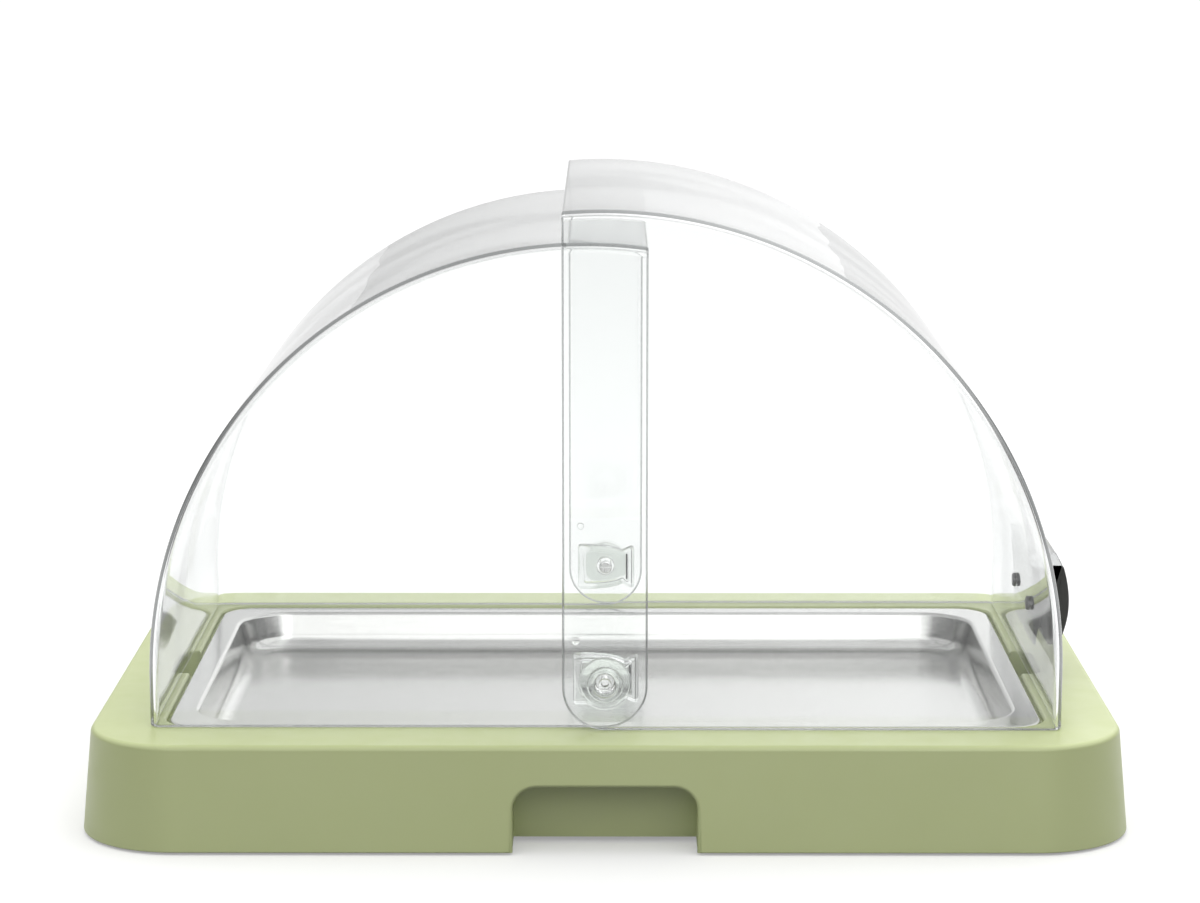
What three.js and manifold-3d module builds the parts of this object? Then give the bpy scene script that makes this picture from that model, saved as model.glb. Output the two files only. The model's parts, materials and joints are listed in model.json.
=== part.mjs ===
// Chilled roll-top display: a moulded base holds two cold packs in a well, a gastronorm 1/1
// tray lies over them, and a clear two-part cover rolls open about two short pivots.
// Millimetres, +Z up. Origin: middle of the footprint, on the table. The handle is on +X.

import * as THREE from 'three';
import { mergeVertices } from 'three/addons/utils/BufferGeometryUtils.js';
import Module from 'manifold-3d';

const wasm = await Module();
wasm.setup();

// Fits and facets
const seatGap = 0.3; // between pieces that touch
const cutOverrun = 20; // how far a cutting solid runs past what it cuts
const weldDepth = 1.2; // how far a rib or boss runs into the wall that carries it
const cornerSteps = 5;
const archSteps = 28;
const roundSides = 20;
const smallRoundSides = 10;
const slotSteps = 3;
const filletSteps = 3;

// Tray, gastronorm 1/1
const trayLength = 530;
const trayWidth = 325;
const trayDepth = 25; // top of the rim to the underside of the floor
const traySheet = 1;
const trayRimWidth = 14.5;
const trayRimDrop = 3; // height of the turned-down edge
const trayRimCornerRadius = 22;
const trayBodyCornerRadius = 34;
const trayShoulderRadius = 3;
const trayFloorFillet = 11;
const trayWallLean = 3;

// Base housing
const endMargin = 43.5; // tray pocket to the edge of the deck, short sides
const sideMargin = 47; // and long sides
const hemLift = 1.5; // table to the lower edge of the skirt
const skirtFlare = 6; // how far the skirt spreads from deck to hem, each side
const baseWall = 3.5;
const baseCornerRadius = 55;
const deckEdgeRadius = 3;
const deckEdgeInnerRadius = 1; // the same edge, seen from below
const trayPocketClearance = 1.5; // round the tray rim
const recessDepth = 4; // deck to the ledge that the tray rests on
const ledgeThickness = 3;
const ledgeReach = 9; // under the tray rim

// Hand cut-out in the middle of each long side, with the pocket behind it
const handCutLength = 109;
const handCutHeight = 40; // above the table
const handCutRadius = 14;
const handPocketGap = 6.5; // well flange to the back of the pocket
const handPocketWall = 3;
const handPocketLift = 3.5; // table to the pocket's lower edge

// Finger notch in the middle of each short side, reaching under the tray rim
const notchLength = 60;
const notchReach = 9; // outside the cover
const notchDepth = 17;
const notchWall = 3;
const notchRadius = 9;

// Deck ribs
const ribThickness = 2.5;
const ribDrop = 22; // below the deck, at the skirt
const longSideRibShares = [-0.78, -0.56, -0.34, 0.34, 0.56, 0.78];
const shortSideRibShares = [-0.72, -0.4, 0.4, 0.72];

// Cooling well, hung under the ledge
const wellWall = 2.5;
const wellClearance = 1.5; // tray body to well
const wellFloorFillet = 8;
const wellLean = 3; // how far the wall leans in from flange to floor
const wellFlangeReach = 12; // outside the recess wall
const wellFlangeThickness = 3;
const wellLift = 7.5; // table to the underside of the well
const screwBossRadius = 4.5;
const screwInset = 6; // recess wall to screw
const longSideScrewShares = [-0.72, 0, 0.72];
const shortSideScrewShares = [-0.56, 0.56];

// Screws that hold the well
const screwShankRadius = 1.9;
const screwHeadRadius = 3.8;
const screwHeadHeight = 2.4;
const screwCrownShare = 0.7; // flat of a pan head, of its radius
const screwRimShare = 0.45; // upright rim of a pan head, of its height
const screwLength = 7.5;
const screwClearance = 0.35;
const slotWidth = 0.9;
const slotDepth = 1.1;

// Cold packs
const packGap = 6; // between the two packs, and round them
const packTrayGap = 1; // top of the packs to the underside of the tray
const packHeight = 28;
const packCornerRadius = 22;
const packEdgeRadius = 4;
const packGrooveWidth = 8;
const packGrooveDepth = 2.5;
const packGrooveLengthShare = 0.72;
const packGrooveShares = [-0.5, -0.25, 0, 0.25, 0.5];
const capRadius = 12;
const capHeight = 5;
const capWellClearance = 2.5;
const capStemRadius = 7;
const capStemLength = 9;
const capPlaceShare = 0.78; // of the pack's half length and half width
const capGripLengthShare = 0.78; // of the cap's diameter
const capGripWidth = 3;
const capGripDepth = 1.5;

// Feet
const footRadius = 11;
const footHeight = 6;
const footChamfer = 1.5;
const footStemRadius = 4.5;
const footStemLength = 10;
const footBossWall = 3;
const footBossGap = 3; // to the corner of the well flange

// Covers
const coverWall = 3;
const coverFillet = 6; // outside radius where the arch meets an end panel
const archStrip = 4; // deck showing between tray pocket and arch foot
const panelStrip = 2.5; // deck showing between tray pocket and inner end panel
const panelGap = 3.5; // between the end panels of the two covers
const pivotRise = 29; // lower edge of the end panels to the pivot axis
const freeEdgeReach = 25.5; // pivot axis to the free edge of each cover
const innerArchSetback = 11.5; // pivot axis to the arch centre, towards the arch foot
const innerArchRise = 1; // pivot axis to the arch centre, upwards
const outerArchOverreach = 2; // pivot axis to the arch centre, away from the arch foot
const outerArchRise = 7.5;
const pipRadius = 2.4;
const pipHeight = 1;
const pipSetback = 17.5; // pivot axis to pip, towards the free edge
const pipRise = 26;

// Pivots
const pivotShankRadius = 6;
const pivotRunning = 0.35; // shank to bore
const buttonFlangeRadius = 16;
const buttonFlangeHeight = 1.8;
const buttonRadius = 10.5;
const buttonHeight = 4.8;
const buttonChamfer = 0.7;
const buttonRimWidth = 2.5; // edge of the button to its sunk ring
const buttonRingDepth = 1.4;
const buttonStudRadius = 4;
const buttonStudHeight = 1;
const buttonStudChamfer = 0.8;
const washerRadius = 15;
const clipThickness = 9;
const clipHalfHeight = 15.5;
const clipBackReach = 19;
const clipTailReach = 20;
const clipWaistReach = 11.5;
const clipWaistHalfHeight = 11.5;
const clipCornerRadius = 2.5;
const clipRim = 4;
const clipRecess = 4;
const clipFloor = 1.6; // between the end of the shank and the head of the screw
const pivotScrewRadius = 2;
const pivotScrewHeadRadius = 4.5;
const pivotScrewHeadHeight = 2.6;
const pivotScrewLength = 12;

// Handle on the outer cover
const handleLength = 96;
const handleProud = 20.5; // outside the arch
const handleTop = 44; // above the pivot axis
const handleBottom = 6; // below it
const handleCrown = 20; // height of the proudest line
const handleTopProud = 16.5;
const handleLipProud = 14.5;
const handleLipThickness = 4.5;
const fingerGapTop = 9; // above the pivot axis
const handleEdgeRadius = 1.5;
const handleSteps = 6;
const padThickness = 2;
const padTop = 53.5;
const padTopProud = 11;
const padShoulderProud = 16;
const padEdge = 2; // pad showing round the ends of the handle
const handleScrewRise = 18;
const handleScrewInset = 13; // from the ends of the handle
const handleScrewRadius = 2;
const handleScrewHeadRadius = 4.5;
const handleScrewHeadHeight = 2.2;
const handleScrewGrip = 10; // shank inside the handle

// Worked out from the sizes above
const pocketHalfX = trayLength / 2 + trayPocketClearance;
const pocketHalfY = trayWidth / 2 + trayPocketClearance;
const pocketRadius = trayRimCornerRadius + trayPocketClearance;
const ledgeHalfX = trayLength / 2 - ledgeReach;
const ledgeHalfY = trayWidth / 2 - ledgeReach;
const ledgeRadius = trayRimCornerRadius;
const baseLength = 2 * (pocketHalfX + endMargin); // at the deck
const baseWidth = 2 * (pocketHalfY + sideMargin);
const wellFloorHeight = wellLift + wellWall;
const packUnder = wellFloorHeight + seatGap;
const packTop = packUnder + packHeight;
const trayFloorUnder = packTop + packTrayGap;
const trayRimTop = trayFloorUnder + trayDepth;
const ledgeTop = trayRimTop - trayRimDrop - seatGap;
const deckHeight = ledgeTop + recessDepth;
const ledgeUnder = ledgeTop - ledgeThickness;
const deckUnder = deckHeight - baseWall;
const trayBodyHalfX = trayLength / 2 - trayRimWidth;
const trayBodyHalfY = trayWidth / 2 - trayRimWidth;
const wellHalfX = trayBodyHalfX + wellClearance;
const wellHalfY = trayBodyHalfY + wellClearance;
const wellCornerRadius = trayBodyCornerRadius + wellClearance;
const wellFlangeTop = ledgeUnder - seatGap;
const wellFlangeUnder = wellFlangeTop - wellFlangeThickness;
const wellFlangeHalfX = pocketHalfX + baseWall + wellFlangeReach;
const wellFlangeHalfY = pocketHalfY + baseWall + wellFlangeReach;
const wellFlangeRadius = pocketRadius + baseWall + wellFlangeReach;
const handPocketBack = wellFlangeHalfY + handPocketGap + handPocketWall;
const archFoot = pocketHalfX + archStrip + coverWall;
const innerPanelInside = pocketHalfY + panelStrip;
const innerPanelOutside = innerPanelInside + coverWall;
const outerPanelInside = innerPanelOutside + panelGap;
const outerPanelOutside = outerPanelInside + coverWall;
const coverUnder = deckHeight + seatGap;
const pivotZ = coverUnder + pivotRise;
const innerArchRadius = archFoot - innerArchSetback;
const outerArchRadius = archFoot + outerArchOverreach;
const notchOuterX = archFoot + notchReach;
const footBossRadius = footStemRadius + seatGap + footBossWall;
const footReach = (wellFlangeRadius + footBossGap + footBossRadius) / Math.SQRT2;
const footX = wellFlangeHalfX - wellFlangeRadius + footReach;
const footY = wellFlangeHalfY - wellFlangeRadius + footReach;
const padShoulder = handleTop + 2 * seatGap;

const materials = {
  greenPlastic: new THREE.MeshStandardMaterial({ color: 0xa9b384, roughness: 0.55, metalness: 0 }),
  wellPlastic: new THREE.MeshStandardMaterial({ color: 0xa9b384, roughness: 0.6, metalness: 0 }),
  steel: new THREE.MeshStandardMaterial({ color: 0xcfd0cf, roughness: 0.28, metalness: 1 }),
  clear: new THREE.MeshStandardMaterial({
    color: 0xf4f7f5, roughness: 0.06, metalness: 0, transparent: true, opacity: 0.3,
  }),
  blackPlastic: new THREE.MeshStandardMaterial({ color: 0x2b2b2a, roughness: 0.45, metalness: 0 }),
  packPlastic: new THREE.MeshStandardMaterial({ color: 0xdfe8ee, roughness: 0.5, metalness: 0 }),
  capPlastic: new THREE.MeshStandardMaterial({ color: 0x6f93ad, roughness: 0.5, metalness: 0 }),
  rubber: new THREE.MeshStandardMaterial({ color: 0x3a3b3a, roughness: 0.85, metalness: 0 }),
  screwSteel: new THREE.MeshStandardMaterial({ color: 0xb9bbbc, roughness: 0.35, metalness: 1 }),
};

// Solids

function solidOf(geometry) {
  const bare = geometry.clone();
  bare.deleteAttribute('normal');
  bare.deleteAttribute('uv');
  const merged = mergeVertices(bare);
  return new wasm.Manifold(new wasm.Mesh({
    numProp: 3,
    vertProperties: new Float32Array(merged.attributes.position.array),
    triVerts: new Uint32Array(merged.index.array),
  }));
}

function geometryOf(manifold) {
  const mesh = manifold.getMesh();
  const geometry = new THREE.BufferGeometry();
  geometry.setAttribute('position', new THREE.BufferAttribute(mesh.vertProperties, 3));
  geometry.setIndex(new THREE.BufferAttribute(mesh.triVerts, 1));
  geometry.computeVertexNormals();
  return geometry;
}

function unionOf(first, ...others) {
  return others.reduce((whole, piece) => whole.add(piece), first);
}

function cut(first, ...others) {
  return others.reduce((whole, piece) => whole.subtract(piece), first);
}

// A rounded rectangle, anticlockwise, with the same number of points at any size
function roundedRing(halfX, halfY, radius, z, steps = cornerSteps) {
  const centres = [[1, 1], [-1, 1], [-1, -1], [1, -1]];
  const ring = [];
  centres.forEach(([sideX, sideY], corner) => {
    for (let step = 0; step <= steps; step += 1) {
      const angle = (Math.PI / 2) * (corner + step / steps);
      ring.push(new THREE.Vector3(
        sideX * (halfX - radius) + radius * Math.cos(angle),
        sideY * (halfY - radius) + radius * Math.sin(angle),
        z,
      ));
    }
  });
  return ring;
}

// Skins a stack of rings, each with as many points as the last, and closes both ends
function loft(rings) {
  const count = rings[0].length;
  const positions = rings.flat().flatMap((point) => point.toArray());
  const index = [];
  for (let row = 0; row < rings.length - 1; row += 1) {
    for (let column = 0; column < count; column += 1) {
      const next = (column + 1) % count;
      const low = row * count;
      const high = low + count;
      index.push(low + column, low + next, high + next, low + column, high + next, high + column);
    }
  }
  const last = (rings.length - 1) * count;
  for (let column = 1; column < count - 1; column += 1) {
    index.push(0, column + 1, column, last, last + column, last + column + 1);
  }
  const geometry = new THREE.BufferGeometry();
  geometry.setAttribute('position', new THREE.Float32BufferAttribute(positions, 3));
  geometry.setIndex(index);
  return geometry;
}

// A quarter round as [inset, rise] pairs, from the wall's foot to its top
function quarterRound(radius, steps) {
  return Array.from({ length: steps + 1 }, (unused, step) => {
    const angle = (Math.PI / 2) * (step / steps);
    return [radius * (1 - Math.cos(angle)), radius * Math.sin(angle)];
  });
}

function roundedShape(halfX, halfY, radius, steps) {
  const ring = roundedRing(halfX, halfY, radius, 0, steps);
  return new THREE.Shape(ring.map((point) => new THREE.Vector2(point.x, point.y)));
}

function prismZ(shape, from, to) {
  const geometry = new THREE.ExtrudeGeometry(shape, {
    depth: to - from, bevelEnabled: false, curveSegments: smallRoundSides / 2,
  });
  return solidOf(geometry.translate(0, 0, from));
}

// A shape drawn in X and Z, run along Y, with its edges rounded by the given radius
function prismY(shape, from, to, edgeRadius = 0, curveSegments = archSteps / 2) {
  const rounded = edgeRadius > 0;
  const geometry = new THREE.ExtrudeGeometry(shape, {
    depth: to - from - 2 * edgeRadius,
    bevelEnabled: rounded,
    bevelThickness: edgeRadius,
    bevelSize: edgeRadius,
    bevelOffset: -edgeRadius,
    bevelSegments: filletSteps,
    curveSegments,
  });
  geometry.rotateX(Math.PI / 2);
  return solidOf(geometry.translate(0, to - edgeRadius, 0));
}

function boxSolid(fromX, toX, fromY, toY, fromZ, toZ) {
  const geometry = new THREE.BoxGeometry(toX - fromX, toY - fromY, toZ - fromZ);
  geometry.translate((fromX + toX) / 2, (fromY + toY) / 2, (fromZ + toZ) / 2);
  return solidOf(geometry);
}

function rodZ(radius, x, y, from, to, sides = roundSides) {
  const geometry = new THREE.CylinderGeometry(radius, radius, to - from, sides);
  geometry.rotateX(Math.PI / 2);
  return solidOf(geometry.translate(x, y, (from + to) / 2));
}

function rodY(radius, x, z, from, to, sides = roundSides) {
  const geometry = new THREE.CylinderGeometry(radius, radius, to - from, sides);
  return solidOf(geometry.translate(x, (from + to) / 2, z));
}

function rodX(radius, y, z, from, to, sides = roundSides) {
  const geometry = new THREE.CylinderGeometry(radius, radius, to - from, sides);
  geometry.rotateZ(Math.PI / 2);
  return solidOf(geometry.translate((from + to) / 2, y, z));
}

// A turned piece about +Z from [radius, height] pairs that start and end on the axis
function turned(profile, sides = roundSides) {
  const points = profile.map(([radius, height]) => new THREE.Vector2(radius, height));
  const geometry = new THREE.LatheGeometry(points, sides);
  return geometry.rotateX(Math.PI / 2);
}

// Base housing

function skirtRings(inset, from, to, edgeRadius) {
  const spread = (z) => (skirtFlare * (deckHeight - z)) / (deckHeight - hemLift);
  const rings = [];
  const ring = (z, extraInset) => {
    const out = spread(z) - inset - extraInset;
    rings.push(roundedRing(baseLength / 2 + out, baseWidth / 2 + out, baseCornerRadius + out, z));
  };
  ring(from, 0);
  quarterRound(edgeRadius, filletSteps).forEach(([extraInset, rise]) => {
    ring(to - edgeRadius + rise, extraInset);
  });
  return rings;
}

function baseShell() {
  const outside = solidOf(loft(skirtRings(0, hemLift, deckHeight, deckEdgeRadius)));
  const under = skirtRings(baseWall, hemLift - cutOverrun, deckUnder, deckEdgeInnerRadius);
  const inside = solidOf(loft(under));
  return cut(outside, inside);
}

function recessWalls() {
  const shape = roundedShape(pocketHalfX + baseWall, pocketHalfY + baseWall, pocketRadius + baseWall);
  return prismZ(shape, ledgeUnder, deckUnder + weldDepth);
}

function recessCuts() {
  return [
    prismZ(roundedShape(pocketHalfX, pocketHalfY, pocketRadius), ledgeTop, deckHeight + cutOverrun),
    prismZ(roundedShape(ledgeHalfX, ledgeHalfY, ledgeRadius), ledgeUnder - cutOverrun, deckHeight),
  ];
}

// The cut-out is open at the hem and has round upper corners
function handCutShape() {
  const half = handCutLength / 2;
  const shape = new THREE.Shape();
  shape.moveTo(-half, -cutOverrun);
  shape.lineTo(half, -cutOverrun);
  shape.lineTo(half, handCutHeight - handCutRadius);
  shape.absarc(half - handCutRadius, handCutHeight - handCutRadius, handCutRadius, 0, Math.PI / 2);
  shape.lineTo(-half + handCutRadius, handCutHeight);
  shape.absarc(-half + handCutRadius, handCutHeight - handCutRadius, handCutRadius, Math.PI / 2, Math.PI);
  return shape;
}

function handPocket(side) {
  const face = baseWidth / 2;
  const half = handCutLength / 2;
  const outer = boxSolid(
    -half - handPocketWall, half + handPocketWall,
    handPocketBack - handPocketWall, face - baseWall + weldDepth, handPocketLift, deckUnder + weldDepth,
  );
  const inner = boxSolid(-half, half, handPocketBack, face + cutOverrun, -cutOverrun, deckUnder);
  return cut(outer, inner).mirror(side > 0 ? [0, 0, 0] : [0, 1, 0]);
}

function handCuts() {
  const to = baseWidth / 2 + cutOverrun;
  return [
    prismY(handCutShape(), handPocketBack, to, 0, filletSteps),
    prismY(handCutShape(), -to, -handPocketBack, 0, filletSteps),
  ];
}

function notchBox(side, grow, from, to) {
  const near = ledgeHalfX + notchWall - grow;
  const far = notchOuterX + grow;
  const shape = roundedShape((far - near) / 2, notchLength / 2 + grow, notchRadius + grow, slotSteps);
  return prismZ(shape, from, to).translate([(side * (near + far)) / 2, 0, 0]);
}

function ribShape(recessFace, skirtFace) {
  const clearOfWell = recessFace + wellFlangeReach + seatGap;
  const shape = new THREE.Shape();
  shape.moveTo(recessFace - weldDepth, deckUnder + weldDepth);
  shape.lineTo(recessFace - weldDepth, ledgeUnder);
  shape.lineTo(clearOfWell, ledgeUnder);
  shape.quadraticCurveTo(skirtFace, ledgeUnder, skirtFace + weldDepth, deckHeight - ribDrop);
  shape.lineTo(skirtFace + weldDepth, deckUnder + weldDepth);
  return shape;
}

function ribs() {
  const rib = (pocketHalf, baseHalf) => prismY(
    ribShape(pocketHalf + baseWall, baseHalf - baseWall), -ribThickness / 2, ribThickness / 2, 0, filletSteps,
  );
  const along = rib(pocketHalfX, baseLength / 2);
  const across = rib(pocketHalfY, baseWidth / 2).rotate([0, 0, 90]);
  const solids = [];
  for (const share of shortSideRibShares) {
    solids.push(along.translate([0, share * pocketHalfY, 0]));
    solids.push(along.mirror([1, 0, 0]).translate([0, share * pocketHalfY, 0]));
  }
  for (const share of longSideRibShares) {
    solids.push(across.translate([share * pocketHalfX, 0, 0]));
    solids.push(across.mirror([0, 1, 0]).translate([share * pocketHalfX, 0, 0]));
  }
  return solids;
}

function screwPlaces() {
  const x = pocketHalfX + baseWall + screwInset;
  const y = pocketHalfY + baseWall + screwInset;
  return [
    ...longSideScrewShares.flatMap((share) => [[share * pocketHalfX, y], [share * pocketHalfX, -y]]),
    ...shortSideScrewShares.flatMap((share) => [[x, share * pocketHalfY], [-x, share * pocketHalfY]]),
  ];
}

function footPlaces() {
  return [[footX, footY], [-footX, footY], [-footX, -footY], [footX, -footY]];
}

function baseHousing() {
  const bossTop = deckUnder + weldDepth;
  const footBosses = footPlaces().map(([x, y]) => rodZ(footBossRadius, x, y, footHeight + seatGap, bossTop));
  const screwBosses = screwPlaces().map(([x, y]) => (
    rodZ(screwBossRadius, x, y, ledgeUnder, bossTop, smallRoundSides)));
  const pocketUnder = deckHeight - notchDepth - notchWall;
  const body = unionOf(
    baseShell(), recessWalls(), ...ribs(), ...footBosses, ...screwBosses, handPocket(1), handPocket(-1),
    notchBox(1, notchWall, pocketUnder, bossTop), notchBox(-1, notchWall, pocketUnder, bossTop),
  );
  const bores = [
    ...screwPlaces().map(([x, y]) => rodZ(
      screwShankRadius + screwClearance, x, y, ledgeUnder - cutOverrun,
      wellFlangeUnder + screwLength + seatGap, smallRoundSides,
    )),
    ...footPlaces().map(([x, y]) => rodZ(
      footStemRadius + seatGap, x, y, -cutOverrun, footHeight + footStemLength + seatGap,
    )),
  ];
  const notches = [1, -1].map((side) => notchBox(side, 0, deckHeight - notchDepth, deckHeight + cutOverrun));
  return cut(body, ...recessCuts(), ...handCuts(), ...notches, ...bores);
}

// Cooling well

function coolingWell() {
  const outside = [];
  const inside = [];
  const floor = wellFloorHeight;
  const lean = (z) => (wellLean * (wellFlangeTop - z)) / (wellFlangeTop - floor);
  const ring = (grow, extraInset, z) => {
    const out = grow - extraInset - lean(z);
    return roundedRing(wellHalfX + out, wellHalfY + out, wellCornerRadius + out, z);
  };
  const bottom = wellFloorFillet + floor;
  quarterRound(wellFloorFillet + wellWall, filletSteps).reverse().forEach(([inset, drop]) => {
    outside.push(ring(wellWall, inset, bottom - drop));
  });
  outside.push(ring(wellWall, 0, wellFlangeTop));
  quarterRound(wellFloorFillet, filletSteps).reverse().forEach(([inset, drop]) => {
    inside.push(ring(0, inset, bottom - drop));
  });
  inside.push(ring(0, 0, wellFlangeTop + cutOverrun));
  const flange = prismZ(
    roundedShape(wellFlangeHalfX, wellFlangeHalfY, wellFlangeRadius), wellFlangeUnder, wellFlangeTop,
  );
  const notchRoom = [1, -1].map((side) => notchBox(
    side, notchWall + seatGap, wellFlangeUnder - cutOverrun, wellFlangeTop + cutOverrun,
  ));
  const holes = screwPlaces().map(([x, y]) => rodZ(
    screwShankRadius + screwClearance, x, y,
    wellFlangeUnder - cutOverrun, wellFlangeTop + cutOverrun, smallRoundSides,
  ));
  const notched = cut(flange, ...notchRoom, ...holes);
  return cut(solidOf(loft(outside)).add(notched), solidOf(loft(inside)));
}

// Tray: one sheet turned up from the floor, over the shoulder and down at the rim

function tray() {
  const rings = [];
  const top = trayRimTop;
  const sheet = traySheet;
  const wallFoot = trayFloorUnder + sheet + trayFloorFillet;
  const wallHead = top - trayShoulderRadius;
  const bodyRing = (out, z) => rings.push(
    roundedRing(trayBodyHalfX + out, trayBodyHalfY + out, trayBodyCornerRadius + out, z));
  const rimRing = (out, z) => rings.push(
    roundedRing(trayLength / 2 + out, trayWidth / 2 + out, trayRimCornerRadius + out, z));
  quarterRound(trayFloorFillet + sheet, filletSteps).reverse().forEach(([inset, drop]) => {
    bodyRing(-trayWallLean - inset, wallFoot - drop);
  });
  bodyRing(0, wallHead);
  quarterRound(trayShoulderRadius - sheet, filletSteps).slice(1).forEach(([outset, rise]) => {
    bodyRing(outset, wallHead + rise);
  });
  rimRing(-sheet, top - sheet);
  rimRing(-sheet, top - trayRimDrop);
  rimRing(0, top - trayRimDrop);
  rimRing(0, top - sheet);
  rimRing(-sheet / 2, top);
  quarterRound(trayShoulderRadius, filletSteps).reverse().forEach(([outset, rise]) => {
    bodyRing(outset - sheet, wallHead + rise);
  });
  quarterRound(trayFloorFillet, filletSteps).forEach(([inset, drop]) => {
    bodyRing(-sheet - trayWallLean - inset, wallFoot - drop);
  });
  return solidOf(loft(rings));
}

// Cold packs and their filler caps

const packHalfX = (wellHalfX - wellLean - wellFloorFillet - packGap) / 2;
const packHalfY = wellHalfY - wellLean - packGap;
const capX = packHalfX * capPlaceShare;
const capY = packHalfY * capPlaceShare;

function coldPack() {
  const rings = [];
  const ring = (inset, z) => rings.push(
    roundedRing(packHalfX - inset, packHalfY - inset, packCornerRadius - inset, z));
  const edge = quarterRound(packEdgeRadius, filletSteps);
  [...edge].reverse().forEach(([inset, drop]) => ring(inset, packUnder + packEdgeRadius - drop));
  edge.forEach(([inset, rise]) => ring(inset, packTop - packEdgeRadius + rise));
  const grooveHalf = packHalfY * packGrooveLengthShare;
  const grooves = packGrooveShares.map((share) => prismZ(
    roundedShape(packGrooveWidth / 2, grooveHalf, packGrooveWidth / 2, slotSteps),
    packTop - packGrooveDepth,
    packTop + cutOverrun,
  ).translate([share * packHalfX, 0, 0]));
  const seat = rodZ(capRadius + capWellClearance, capX, capY, packTop - capHeight, packTop + cutOverrun);
  const bore = rodZ(
    capStemRadius + seatGap, capX, capY, packTop - capHeight - capStemLength - seatGap, packTop + cutOverrun,
  );
  return cut(solidOf(loft(rings)), ...grooves, seat, bore);
}

function packCap() {
  const flat = solidOf(turned([
    [0, -capHeight - capStemLength], [capStemRadius, -capHeight - capStemLength],
    [capStemRadius, -capHeight + seatGap], [capRadius, -capHeight + seatGap],
    [capRadius, -capGripDepth / 2], [capRadius - capGripDepth / 2, 0], [0, 0],
  ]));
  const grip = boxSolid(
    -capRadius * capGripLengthShare, capRadius * capGripLengthShare,
    -capGripWidth / 2, capGripWidth / 2, -capGripDepth, cutOverrun,
  );
  const sides = [-1, 1].map((side) => grip.translate([0, side * capGripWidth, 0]));
  return cut(flat, ...sides).translate([capX, capY, packTop]);
}

// Feet and fasteners

function foot() {
  return turned([
    [0, 0], [footRadius - footChamfer, 0], [footRadius, footChamfer], [footRadius, footHeight],
    [footStemRadius, footHeight], [footStemRadius, footHeight + footStemLength],
    [0, footHeight + footStemLength],
  ]);
}

// A pan head screw, its shank up, the underside of its head at zero
function panScrew(shankRadius, headRadius, headHeight, length) {
  const body = solidOf(turned([
    [0, -headHeight], [headRadius * screwCrownShare, -headHeight],
    [headRadius, -headHeight * screwRimShare], [headRadius, 0],
    [shankRadius, 0], [shankRadius, length - shankRadius], [0, length],
  ], smallRoundSides));
  const slot = boxSolid(
    -headRadius, headRadius, -slotWidth / 2, slotWidth / 2, -headHeight - cutOverrun, -headHeight + slotDepth,
  );
  return cut(body, slot);
}

function mirroredInX(shape) {
  const points = shape.getPoints(archSteps / 2);
  return new THREE.Shape(points.map((point) => new THREE.Vector2(-point.x, point.y)).reverse());
}

// Covers. The arch foot is upright up to the arch centre, then the arch is a circular arc.
// side is +1 for a cover whose arch stands on +X. X and Z are taken from the pivot axis.
function archShape(radius, rise, inset, side) {
  const centre = archFoot - radius;
  const reach = radius - inset;
  const backStop = -pivotRise - 2 * cutOverrun + inset;
  const endAngle = Math.acos((backStop - centre) / reach);
  const shape = new THREE.Shape();
  shape.moveTo(backStop, -pivotRise - cutOverrun);
  shape.lineTo(centre + reach, -pivotRise - cutOverrun);
  shape.lineTo(centre + reach, rise);
  shape.absarc(centre, rise, reach, 0, endAngle);
  return side > 0 ? shape : mirroredInX(shape);
}

// What is kept: above the lower edge and out to the free edge, with a round lower corner that
// stays as near to the pivot axis as the lower edge does, so that it clears the deck as it turns
function trimShape(radius, side) {
  const cornerRise = freeEdgeReach - pivotRise;
  const shape = new THREE.Shape();
  shape.moveTo(0, -pivotRise);
  shape.lineTo(2 * radius, -pivotRise);
  shape.lineTo(2 * radius, 2 * radius);
  shape.lineTo(-freeEdgeReach, 2 * radius);
  shape.lineTo(-freeEdgeReach, cornerRise);
  shape.absarc(0, cornerRise, freeEdgeReach, Math.PI, Math.PI * 1.5);
  return side > 0 ? shape : mirroredInX(shape);
}

function coverShell(radius, rise, panelOutside, side) {
  const arch = archShape(radius, rise, 0, side);
  const outside = prismY(arch, -panelOutside, panelOutside, coverFillet);
  const panelInside = panelOutside - coverWall;
  const inside = prismY(
    archShape(radius, rise, coverWall, side), -panelInside, panelInside, coverFillet - coverWall,
  );
  const keep = prismY(trimShape(radius, side), -panelOutside - cutOverrun, panelOutside + cutOverrun);
  const bore = rodY(
    pivotShankRadius + pivotRunning, 0, 0, -panelOutside - cutOverrun, panelOutside + cutOverrun,
  );
  return cut(cut(outside, inside).intersect(keep), bore);
}

function stopPip(side) {
  const pip = solidOf(turned([
    [0, -weldDepth], [pipRadius, -weldDepth], [pipRadius, 0], [pipRadius / 2, pipHeight], [0, pipHeight],
  ], smallRoundSides)).rotate([side > 0 ? -90 : 90, 0, 0]);
  return pip.translate([-pipSetback, side * outerPanelOutside, pipRise]);
}

function innerCover() {
  const shell = coverShell(innerArchRadius, innerArchRise, innerPanelOutside, -1);
  return shell.translate([0, 0, pivotZ]);
}

function outerCover() {
  const shell = coverShell(outerArchRadius, outerArchRise, outerPanelOutside, 1);
  const holes = handleScrewPlaces().map((y) => rodX(
    handleScrewRadius + seatGap, y, handleScrewRise,
    archFoot - cutOverrun, archFoot + cutOverrun, smallRoundSides,
  ));
  return cut(unionOf(shell, stopPip(1), stopPip(-1)), ...holes).translate([0, 0, pivotZ]);
}

// Pivots. Each is drawn for the front end, with its axis along Y, and mirrored for the back.

// Along the axis, from the middle of the display: the floor that the screw head pulls against
const clipSeat = innerPanelInside - seatGap - clipThickness + clipRecess;
const shankEnd = clipSeat + clipFloor + seatGap;

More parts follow.
